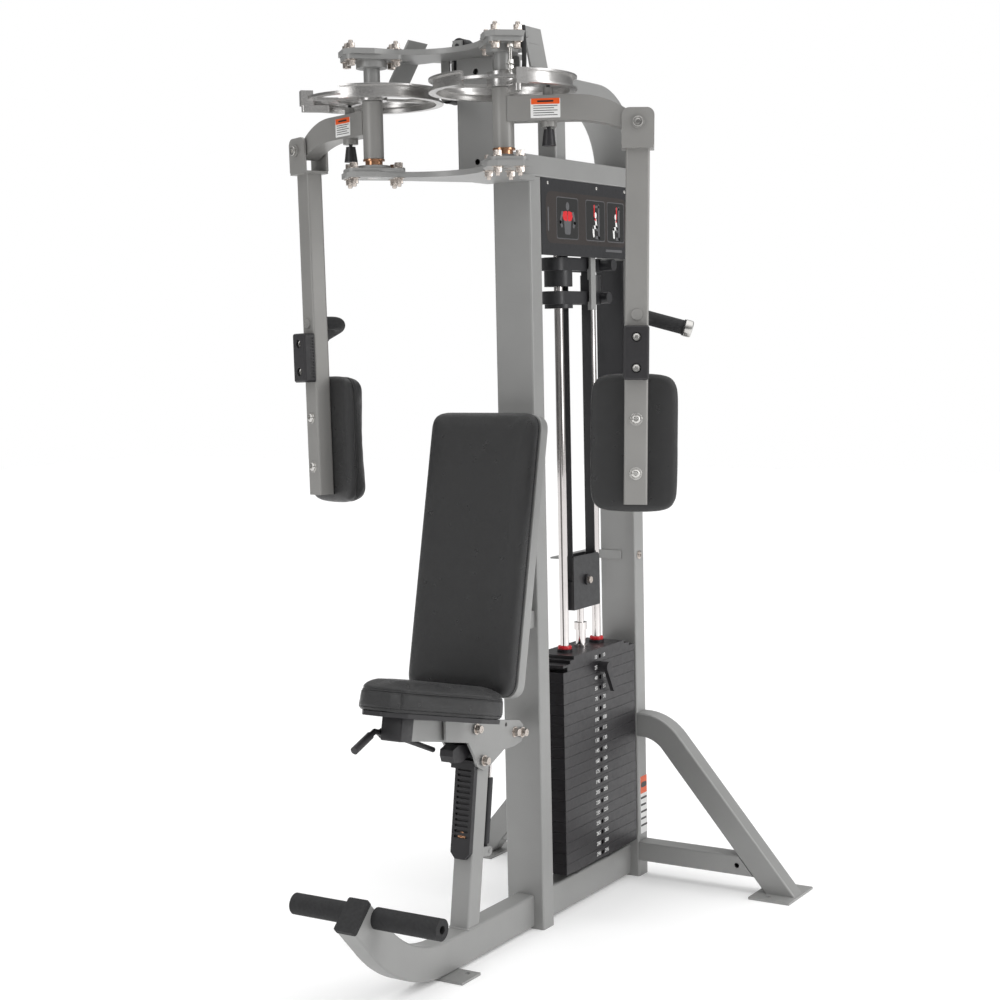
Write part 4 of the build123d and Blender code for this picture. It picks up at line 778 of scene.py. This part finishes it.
back_at, back_size = node_frame("back_cushion", EAST, BACK_RISE, BACK_OUT)
SHELL_T = 0.036           # silver shell behind the back cushion
SHELL_MARGIN = 0.004
SHELL_CORNER = 0.036
SHELL_FRONT_EDGE = 0.003
SHELL_REAR_EDGE = 0.012
BACK_CORNER = 0.040
BACK_SEAM_H = 0.007
BACK_STITCH_H = 0.012
back_plan = rectangle(back_size[0] - 2 * SWELL, back_size[1] - 2 * SWELL, BACK_CORNER)
back = Cushion("back_pad", back_plan, back_size[2] - SHELL_T - SWELL, edge=0.018, base_edge=0.004, cap=0.003)
back.sew(back.round_loop(BACK_SEAM_H), depth=0.0022, cord_radius=0.0014)
back.stitch(back.round_loop(BACK_STITCH_H))
back.finish(back_at @ Matrix.Translation((0, 0, SHELL_T)), "frame", ["back_cushion"], fill=0.85)
shell_plan = rectangle(back_size[0] - SHELL_MARGIN, back_size[1] - SHELL_MARGIN, SHELL_CORNER)
shell = pad_shape(evenly(shell_plan, Cushion.OUTLINE_STEP), SHELL_T, SHELL_FRONT_EDGE, SHELL_REAR_EDGE)
shell.transform(back_at)
piece("back_shell", shell, [SILVER], "frame")

seat_at, seat_size = node_frame("seat_cushion", EAST, SEAT_BACK, SEAT_UP)
NOSE_HALF = 0.059
NOSE_CUT = 0.026          # how far the nose's corners are cut back along the front edge
NOSE_FLARE = 0.008
NOSE_L = 0.044
SHOULDER_Y = 0.062        # where the sides reach their full width
SEAT_CORNER = 0.028
SEAT_WELT_DOWN = 0.016    # from the top of the seat to its welt
SEAT_STITCH_DOWN = 0.021
SEAT_HEM_H = 0.006
UPRIGHT_SEAM_LOW = 0.007
UPRIGHT_SEAM_DOWN = 0.018
NOSE_SEAM_Y = 0.030
half_w = seat_size[0] / 2 - SWELL
half_l = seat_size[1] / 2 - SWELL
nose = NOSE_HALF - SWELL
seat_plan = rounded([
    (nose - NOSE_CUT, -half_l), (nose + NOSE_FLARE, NOSE_L - half_l), (half_w, SHOULDER_Y), (half_w, half_l),
    (-half_w, half_l), (-half_w, SHOULDER_Y), (-nose - NOSE_FLARE, NOSE_L - half_l),
    (NOSE_CUT - nose, -half_l),
], SEAT_CORNER)
seat = Cushion("seat_pad", seat_plan, seat_size[2] - SWELL, edge=0.016, base_edge=0.005, cap=0.008)
seat.sew(seat.round_loop(seat_size[2] - SEAT_WELT_DOWN), depth=0.0030, cord_radius=0.0018)
seat.stitch(seat.round_loop(seat_size[2] - SEAT_STITCH_DOWN))
seat.sew(seat.round_loop(SEAT_HEM_H), depth=0.0018, cord_radius=0.0012)
nose_seam_y = NOSE_SEAM_Y - half_l
for corner in ((-nose, nose_seam_y), (nose, nose_seam_y), (-half_w, half_l), (half_w, half_l)):
    seam = seat.down_line(corner, UPRIGHT_SEAM_LOW, seat_size[2] - UPRIGHT_SEAM_DOWN)
    seat.sew(seam, depth=0.0016, cord_radius=0.0009, closed=False)
seat.finish(seat_at, "seat", ["seat_cushion"], fill=0.8)

ARM_PAD_CORNER = 0.038
ARM_SEAM_SHARE = 0.40     # heights of the seam and the stitches, as shares of the pad's thickness
ARM_STITCH_SHARE = 0.48
for side in SIDES:
    pad_at, pad_size = node_frame(side.name + "_arm_pad", side.out, side.rise, side.across)
    pad_plan = rectangle(pad_size[0] - 2 * SWELL, pad_size[1] - 2 * SWELL, ARM_PAD_CORNER)
    arm_pad = Cushion(side.name + "_arm_cushion", pad_plan, pad_size[2] - SWELL, edge=0.024, base_edge=0.008,
                      cap=0.006)
    arm_pad.sew(arm_pad.round_loop(pad_size[2] * ARM_SEAM_SHARE), depth=0.0028, cord_radius=0.0016)
    arm_pad.stitch(arm_pad.round_loop(pad_size[2] * ARM_STITCH_SHARE))
    arm_pad.finish(pad_at, side.name + "_lower_arm", [side.name + "_arm_pad"], fill=0.8)

# ---- fasteners -------------------------------------------------------------------------------
FAR = 400                 # a place well outside the machine to look from, mm


def both_signs(*numbers):
    """Every combination of signs of some numbers."""
    combos = [()]
    for number in numbers:
        combos = [combo + (sign * number,) for combo in combos for sign in (-1, 1)]
    return combos


# Heights and sizes below are in the drawing's millimetres; bolt sizes are across the corners.
LOWER_FLANGE_TOP = 1773
LOWER_PLATE_UNDER = 1753
UPPER_FLANGE_UNDER = 2007
UPPER_PLATE_TOP = 2029
FLANGE_BOLT_ALONG = 50
FLANGE_BOLT_ACROSS = 24
FLANGE_BOLT = 20
COLUMN_BOLT = 17
COLUMN_BOLT_X = 2
COLUMN_BOLT_ZS = (1789, 1946, 1987)
head_bolts = bmesh.new()
for side in SIDES:
    for along, across in both_signs(FLANGE_BOLT_ALONG, FLANGE_BOLT_ACROSS):
        hex_head(head_bolts, side.head(along, across, LOWER_FLANGE_TOP), UP, FLANGE_BOLT)
        stud_end(head_bolts, side.head(along, across, LOWER_PLATE_UNDER), -UP, FLANGE_BOLT)
        hex_head(head_bolts, side.head(along, across, UPPER_FLANGE_UNDER), -UP, FLANGE_BOLT)
        stud_end(head_bolts, side.head(along, across, UPPER_PLATE_TOP), UP, FLANGE_BOLT)
post_face = surface("head_posts")
for z in COLUMN_BOLT_ZS:
    hex_head(head_bolts, touch(post_face, at(COLUMN_BOLT_X, -FAR, z), NORTH), -NORTH, COLUMN_BOLT)
piece("head_bolts", head_bolts, [ZINC], "frame")

PAD_SCREW_ZS = (1221, 1106)
PAD_SCREW_R = 10
PAD_WASHER = [(13.5, 0, False), (13.5, 1.2, False), (13, 1.6, False), (9, 1.6, False)]
PAD_WASHER_T = 1.6
STOP_SCREW_ZS = (1329, 1394)
STOP_SCREW_R = 8.6
STOP_SCREW_H = 10
HINGE_HEAD_R = 10.5
HINGE_HEAD_H = 6
for side in SIDES:
    arm_screws = bmesh.new()
    tube_face = surface(side.name + "_lower_arm")
    for z in PAD_SCREW_ZS:
        spot = touch(tube_face, side.hung(0, -FAR / 2, z), side.across)
        ringed(arm_screws, spot, -side.across, PAD_WASHER)
        button_head(arm_screws, spot - side.across * PAD_WASHER_T * MM, -side.across, PAD_SCREW_R)
    block_face = surface(side.name + "_stop_block")
    for z in STOP_SCREW_ZS:
        spot = touch(block_face, side.hung(0, -FAR / 2, z), side.across)
        socket_head(arm_screws, spot, -side.across, STOP_SCREW_R, STOP_SCREW_H)
    for sign in (-1, 1):
        spot = touch(tube_face, side.hung(0, sign * FAR / 2, side.hinge.z / MM), side.across * -sign)
        socket_head(arm_screws, spot, side.across * sign, HINGE_HEAD_R, HINGE_HEAD_H)
    piece(side.name + "_arm_screws", arm_screws, [STEEL], side.name + "_lower_arm")

SEAT_BOLTS_YZ = ((-183, 534), (-155, 457), (11, 489), (-14, 494))
SEAT_BOLT = 19
seat_bolts = bmesh.new()
carriage = surface("seat_carriage")
for y, z in SEAT_BOLTS_YZ:
    for sign in (-1, 1):
        outside = at(sign * FAR, y, z)
        if carriage.ray_cast(outside, EAST * -sign)[0] is not None:
            hex_head(seat_bolts, touch(carriage, outside, EAST * -sign), EAST * sign, SEAT_BOLT)
piece("seat_bolts", seat_bolts, [ZINC], "seat")

block_bolts = bmesh.new()
block_axis = Vector(JOINTS["block_pulley_spin"]["pos_m"])
for sign, edge in zip((-1, 1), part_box("pulley_block")):
    hex_head(block_bolts, Vector((edge[0], block_axis.y, block_axis.z)), EAST * sign, SEAT_BOLT)
piece("block_bolts", block_bolts, [ZINC], "stack_lift")

rod_low, rod_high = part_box("guide_rods")
rod_r = (rod_high[0] - rod_low[0]) / 2
rod_ys = (rod_low[1] + rod_r, rod_high[1] - rod_r)
ROD_R = rod_r / MM
BUSH_H = 9
BUSH_WALL = 6
BUSH_GAP = 0.4
BUSH_SUNK = 1
COLLAR_H = 16
COLLAR_WALL = 8
bush_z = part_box("lifted_plates")[1][2] - BUSH_SUNK * MM
red_bushes = bmesh.new()
rod_collars = bmesh.new()
for y in rod_ys:
    collar(red_bushes, Vector((0, y, bush_z)), UP, ROD_R + BUSH_GAP, ROD_R + BUSH_WALL, BUSH_H)
    collar(rod_collars, Vector((0, y, rod_high[2] - COLLAR_H * MM)), UP, ROD_R, ROD_R + COLLAR_WALL, COLLAR_H)
piece("red_bushes", red_bushes, [RED_PLASTIC], "stack_lift")
piece("rod_collars", rod_collars, [STEEL], "frame")

# ---- caps and collars --------------------------------------------------------------------------
CAP_L = 45.0
CAP_OVER = 3              # how far the cap stands in front of the tube
CAP_EDGE = 4
CAP_ACROSS = 54
SEAT_TO_TUBE = Vector((0, -0.072, -0.035))
tube_front = seat_at @ SEAT_TO_TUBE
cap_centre = tube_front + SEAT_BACK * (CAP_L / 2 - CAP_OVER) * MM
cap_turn = Matrix((EAST, SEAT_BACK, SEAT_UP)).transposed().to_4x4()
seat_cap = bmesh.new()
block(seat_cap, Matrix.Translation(cap_centre) @ cap_turn, (CAP_ACROSS, CAP_L, CAP_ACROSS), CAP_EDGE)
piece("seat_tube_cap", seat_cap, [PLASTIC], "seat")

GRIP_RUN = (112, -30)     # the handle's direction: out along the arm and down
GRIP_END_BACK = 0.014
GRIP_END = [(17.9, 0, False), (18.4, 1.5, False), (18.4, 12, False), (17.6, 15, False), (15, 16.5, False),
            (8, 17, False)]
for side in SIDES:
    grip_end = bmesh.new()
    axis = (side.out * GRIP_RUN[0] + side.rise * GRIP_RUN[1]).normalized()
    grip = corners(side.name + "_grip")
    reach = max(point.dot(axis) for point in grip)
    last = [point for point in grip if point.dot(axis) > reach - MM]
    tip = sum(last, Vector()) / len(last)
    tip = tip + axis * (reach - tip.dot(axis))
    ringed(grip_end, tip - axis * GRIP_END_BACK, axis, GRIP_END)
    piece(side.name + "_grip_end", grip_end, [STEEL], side.name + "_lower_arm")

# ---- printed marks -----------------------------------------------------------------------------
PRINT_T = 0.0003
weights = {"stack_lift": bmesh.new(), "frame": bmesh.new()}


def write(shape, text, matrix, height):
    """Adds flat lettering, centred on a matrix whose x axis runs with the text."""
    curve = bpy.data.curves.new("text", "FONT")
    curve.body = text
    curve.size = height
    curve.align_x = "CENTER"
    curve.align_y = "CENTER"
    curve.extrude = PRINT_T
    curve.resolution_u = 4
    made = bpy.data.objects.new("text", curve)
    SCENE.collection.objects.link(made)
    mesh = current_mesh(made)
    mesh.transform(matrix)
    shape.from_mesh(mesh)
    bpy.data.objects.remove(made)
    bpy.data.meshes.remove(mesh)


def facing(place, x, y):
    """Matrix at a place with given x and y directions."""
    return Matrix.Translation(place) @ Matrix((x, y, x.cross(y))).transposed().to_4x4()


PLATE_PITCH = 0.026
PLATES = 20
LIFTED = 2                # rows that rise with the top plate at rest
NUMBER_APART = 0.0205     # from the pin holes to the middle of a number
FIRST_WEIGHT = 10
WEIGHT_STEP = 15
NUMBER_H = 0.0135
PLATE_HALF_T = 0.0127
stack_low, stack_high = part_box("weight_plates")
first_z = stack_low[2] + PLATE_HALF_T + PLATE_PITCH * (PLATES - 1)
stem_low, stem_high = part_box("selector_stem")
stem_y = (stem_low[1] + stem_high[1]) / 2
for row in range(PLATES):
    body = "stack_lift" if row < LIFTED else "frame"
    z = first_z - PLATE_PITCH * row
    for sign in (-1, 1):
        spot = Vector((stack_high[0], stem_y + sign * NUMBER_APART, z))
        write(weights[body], str(FIRST_WEIGHT + WEIGHT_STEP * row), facing(spot, NORTH, UP), NUMBER_H)
for body, shape in weights.items():
    piece("weight_numbers_" + body, shape, [WHITE_PRINT], body)


def stroke(shape, matrix, points, width, level=0.0):
    """A line of round-ended strokes."""
    for first, last in zip(points, points[1:]):
        first, last = Vector(first), Vector(last)
        run = (last - first).normalized() if (last - first).length else Vector((1, 0))
        across = Vector((-run.y, run.x))
        outline = []
        for k in range(9):
            a = -math.pi / 2 + math.pi * k / 8
            outline.append(last + (run * math.cos(a) + across * math.sin(a)) * width / 2)
        for k in range(9):
            a = math.pi / 2 + math.pi * k / 8
            outline.append(first + (run * math.cos(a) + across * math.sin(a)) * width / 2)
        plate(shape, matrix, outline, level, level + PRINT_T)


BARS = 5


def sticker(name, place, x, y, width, height, body):
    """Notice with a coloured heading and plain bars in place of words."""
    matrix = facing(place, x, y)
    white, orange, bars = bmesh.new(), bmesh.new(), bmesh.new()
    plate(white, matrix, rectangle(width, height, 0.002), -PRINT_T, PRINT_T)
    head_h = height * 0.30
    shift = Matrix.Translation((0, (height - head_h) / 2, 0))
    plate(orange, matrix @ shift, rectangle(width * 0.96, head_h, 0.001), PRINT_T, 2 * PRINT_T)
    head_y = (height - head_h) / 2
    stroke(bars, matrix, [(-width * 0.25, head_y), (width * 0.25, head_y)], head_h * 0.3, 2 * PRINT_T)
    for k in range(BARS):
        bar_y = height * (0.12 - 0.12 * k)
        bar_end = width * (0.4 - 0.12 * (k % 2))
        stroke(bars, matrix, [(-width * 0.4, bar_y), (bar_end, bar_y)], height * 0.035, PRINT_T)
    piece(name + "_base", white, [WHITE_PRINT], body)
    piece(name + "_heading", orange, [ORANGE_PRINT], body)
    piece(name + "_bars", bars, [BLACK_PRINT], body)


ARM_NOTICE = (0.062, 0.040)
ARM_NOTICE_ALONG = 90
ARM_NOTICE_Z = 1873
for side in SIDES:
    arm_face = surface(side.name + "_arm")
    spot = touch(arm_face, side.arm(ARM_NOTICE_ALONG, -FAR / 2, ARM_NOTICE_Z), side.across)
    sticker(side.name + "_arm_notice", spot, side.along * side.sign, UP, *ARM_NOTICE, side.name + "_arm")
UPRIGHT_NOTICE = (0.036, 0.150)
spot = touch(surface("rear_upright"), at(FAR, 598, 185), -EAST)
sticker("upright_notice", spot, NORTH, UP, *UPRIGHT_NOTICE, "frame")

# ---- placard -----------------------------------------------------------------------------------
SIGN_BROWN = Paint("sign_brown", (0.030, 0.024, 0.022), 0.35)
sign_low, sign_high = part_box("placard")
SIGN_Z0 = 1.588
BAND = (0.400, 0.120, 0.028)
PANELS = ((-0.099, 0.100), (0.038, 0.092), (0.142, 0.084))   # middle and width of each picture
PANEL_H = 0.094
PANEL_CORNER = 0.007
PANEL_FRAME = 0.004
sign_mid = (SIGN_Z0 + sign_high[2]) / 2
SIGN_BROWN.mottle(SIGN_BROWN.noise(7, 2), 0.35)
PICTURE_GREY = Paint("picture_grey", (0.10, 0.10, 0.105), 0.4).mat
PICTURE_RED = Paint("picture_red", (0.62, 0.015, 0.02), 0.4).mat
sign_at = facing(Vector((sign_high[0], (sign_low[1] + sign_high[1]) / 2, sign_mid)), NORTH, UP)
band, frames, panels = bmesh.new(), bmesh.new(), bmesh.new()
white, grey, red = bmesh.new(), bmesh.new(), bmesh.new()
plate(band, sign_at, rectangle(*BAND), -PRINT_T, 0.4 * PRINT_T)
for centre, width in PANELS:
    lay = sign_at @ Matrix.Translation((centre, 0, 0))
    rim = rectangle(width + PANEL_FRAME, PANEL_H + PANEL_FRAME, PANEL_CORNER + MM)
    plate(frames, lay, rim, 0, PRINT_T)
    plate(panels, lay, rectangle(width, PANEL_H, PANEL_CORNER), 0, 1.5 * PRINT_T)
INK = 1.6 * PRINT_T
TRUNK = [(-0.013, -0.038), (0.013, -0.038), (0.019, 0.008), (-0.019, 0.008)]
BODY_CORNER = 0.006
chest = sign_at @ Matrix.Translation((PANELS[0][0], 0, 0))
stroke(grey, chest, [(0, 0.030), (0, 0.027)], 0.016, INK)
plate(grey, chest, rounded(TRUNK, BODY_CORNER), INK, INK * 1.1)
for sign in (-1, 1):
    stroke(grey, chest, [(sign * 0.026, 0.012), (sign * 0.034, -0.010), (sign * 0.028, -0.018)], 0.009, INK)
    muscle = [(sign * 0.001, -0.007), (sign * 0.020, -0.005), (sign * 0.027, 0.014), (sign * 0.001, 0.018)]
    plate(red, chest, rounded(muscle[::sign], BODY_CORNER), INK * 1.1, INK * 1.2)
for centre, reach in ((PANELS[1][0], 0.0), (PANELS[2][0], 0.010)):
    lay = sign_at @ Matrix.Translation((centre, 0, 0))
    stroke(grey, lay, [(0.016, 0.036), (0.016, -0.040), (0.002, -0.040)], 0.008, INK)
    stroke(grey, lay, [(0.016, 0.034), (-0.008 + reach, 0.034)], 0.006, INK)
    stroke(grey, lay, [(0.010, -0.022), (-0.004, -0.018)], 0.006, INK)
    stroke(white, lay, [(0, 0.015), (0, 0.012)], 0.011, INK * 1.1)
    limbs = [(0.001, 0.002), (0.004, -0.014), (-0.012, -0.016), (-0.010, -0.036)]
    stroke(white, lay, limbs, 0.008, INK * 1.1)
    stroke(red, lay, [(-0.006 + reach, 0.036), (-0.006 + reach, 0.006), (0.001, 0.002)], 0.005, INK * 1.2)
stroke(grey, sign_at, [(0.090, -0.070), (0.170, -0.070)], 0.006, PRINT_T)
stroke(grey, sign_at, [(-0.190, -0.030), (-0.190, 0.020)], 0.006, PRINT_T)
for name, shape, material in (("band", band, SIGN_BROWN.mat), ("frames", frames, PICTURE_GREY),
                              ("panels", panels, BLACK_PRINT), ("white", white, WHITE_PRINT),
                              ("grey", grey, PICTURE_GREY), ("red", red, PICTURE_RED)):
    piece("sign_" + name, shape, [material], "frame")
SIGN_SCREW_YS = (-0.190, 0.045, 0.190)
SIGN_SCREW_UP = 0.078
SIGN_SCREW_R = 4
sign_screws = bmesh.new()
for y in SIGN_SCREW_YS:
    button_head(sign_screws, sign_at @ Vector((y, SIGN_SCREW_UP, 0)), EAST, SIGN_SCREW_R)
piece("sign_screws", sign_screws, [STEEL], "frame")

# ---- lift belt -----------------------------------------------------------------------------------
strands = bmesh.new()
strands.from_mesh(NODES["lift_belt"].data)
strands = piece("belt_strands", strands, [BELT], "frame")
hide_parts("lift_belt")
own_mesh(strands)

# ---- hanging adjusters, bracket bolts and welds --------------------------------------------------
STUD_AT = (47, 8)         # along and across the right wing
STUD_Z = 1945
STUD_R = 4
STUD_NUT_ZS = (1950, 1962, 1996)
STUD_NUT = 14
STRAP_AT = (52, 35)
STRAP_R = 0.005
STRAP_BOW = ((2040, 0), (2025, 3), (2005, 6), (1985, 7), (1965, 5), (1948, 0))
right_side = SIDES[0]
studs = bmesh.new()
stud_h = UPPER_PLATE_TOP - STUD_Z
ringed(studs, right_side.head(*STUD_AT, STUD_Z), UP, [(STUD_R, 0, False), (STUD_R, stud_h, False)])
for z in STUD_NUT_ZS:
    hex_head(studs, right_side.head(*STUD_AT, z), UP, STUD_NUT)
piece("adjuster_stud", studs, [STEEL], "frame")
strap = bmesh.new()
strap_spots = [right_side.head(*STRAP_AT, z) + right_side.wing * bow * MM for z, bow in STRAP_BOW]
tube_along(strap, strap_spots, [right_side.wing_side] * len(strap_spots), STRAP_R, False)
piece("adjuster_strap", strap, [RUBBER], "frame", SOFT_SHARP)

bracket_bolts = bmesh.new()
spot = touch(surface("rear_upright", "stack_brackets"), at(FAR, 590, 838), -EAST)
collar(bracket_bolts, spot, EAST, 6, 11, 2)
socket_head(bracket_bolts, spot, EAST, 6.5, 5)
piece("bracket_bolts", bracket_bolts, [ZINC], "frame")

rack_screw = bmesh.new()
post_out = EAST.cross(Vector(JOINTS["seat_slide"]["axis"]))
spot = touch(surface("seat_rack"), at(0, -FAR, 288), NORTH)
collar(rack_screw, spot, post_out, 5, 10, 2)
button_head(rack_screw, spot, post_out, 7)
piece("rack_screw", rack_screw, [BRONZE], "frame")

BEAD_R = 0.0028
BEAD_STEP = 0.004
BEAD_CORNER = 0.006
BEAD_NEAR = 0.003


def weld(shape, node, height):
    """Weld bead round a tube where it stands on a surface at a height."""
    near = [point for point in corners(node) if abs(point.z - height) < BEAD_NEAR]
    low_x, high_x = min(p.x for p in near), max(p.x for p in near)
    low_y, high_y = min(p.y for p in near), max(p.y for p in near)
    middle = Vector(((low_x + high_x) / 2, (low_y + high_y) / 2))
    ring = rectangle(high_x - low_x, high_y - low_y, BEAD_CORNER)
    loop = evenly([middle + corner for corner in ring], BEAD_STEP)
    spots = [Vector((*point, height)) for point in loop]
    aways = [(outward(loop, i).to_3d() + UP * (0.6 + 0.4 * (i % 2))).normalized() for i in range(len(loop))]
    tube_along(shape, spots, aways, BEAD_R, True)


welds = bmesh.new()
weld(welds, "head_posts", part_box("head_posts")[0][2])
weld(welds, "seat_post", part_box("seat_post")[0][2])
piece("welds", welds, [SILVER], "frame", SOFT_SHARP)
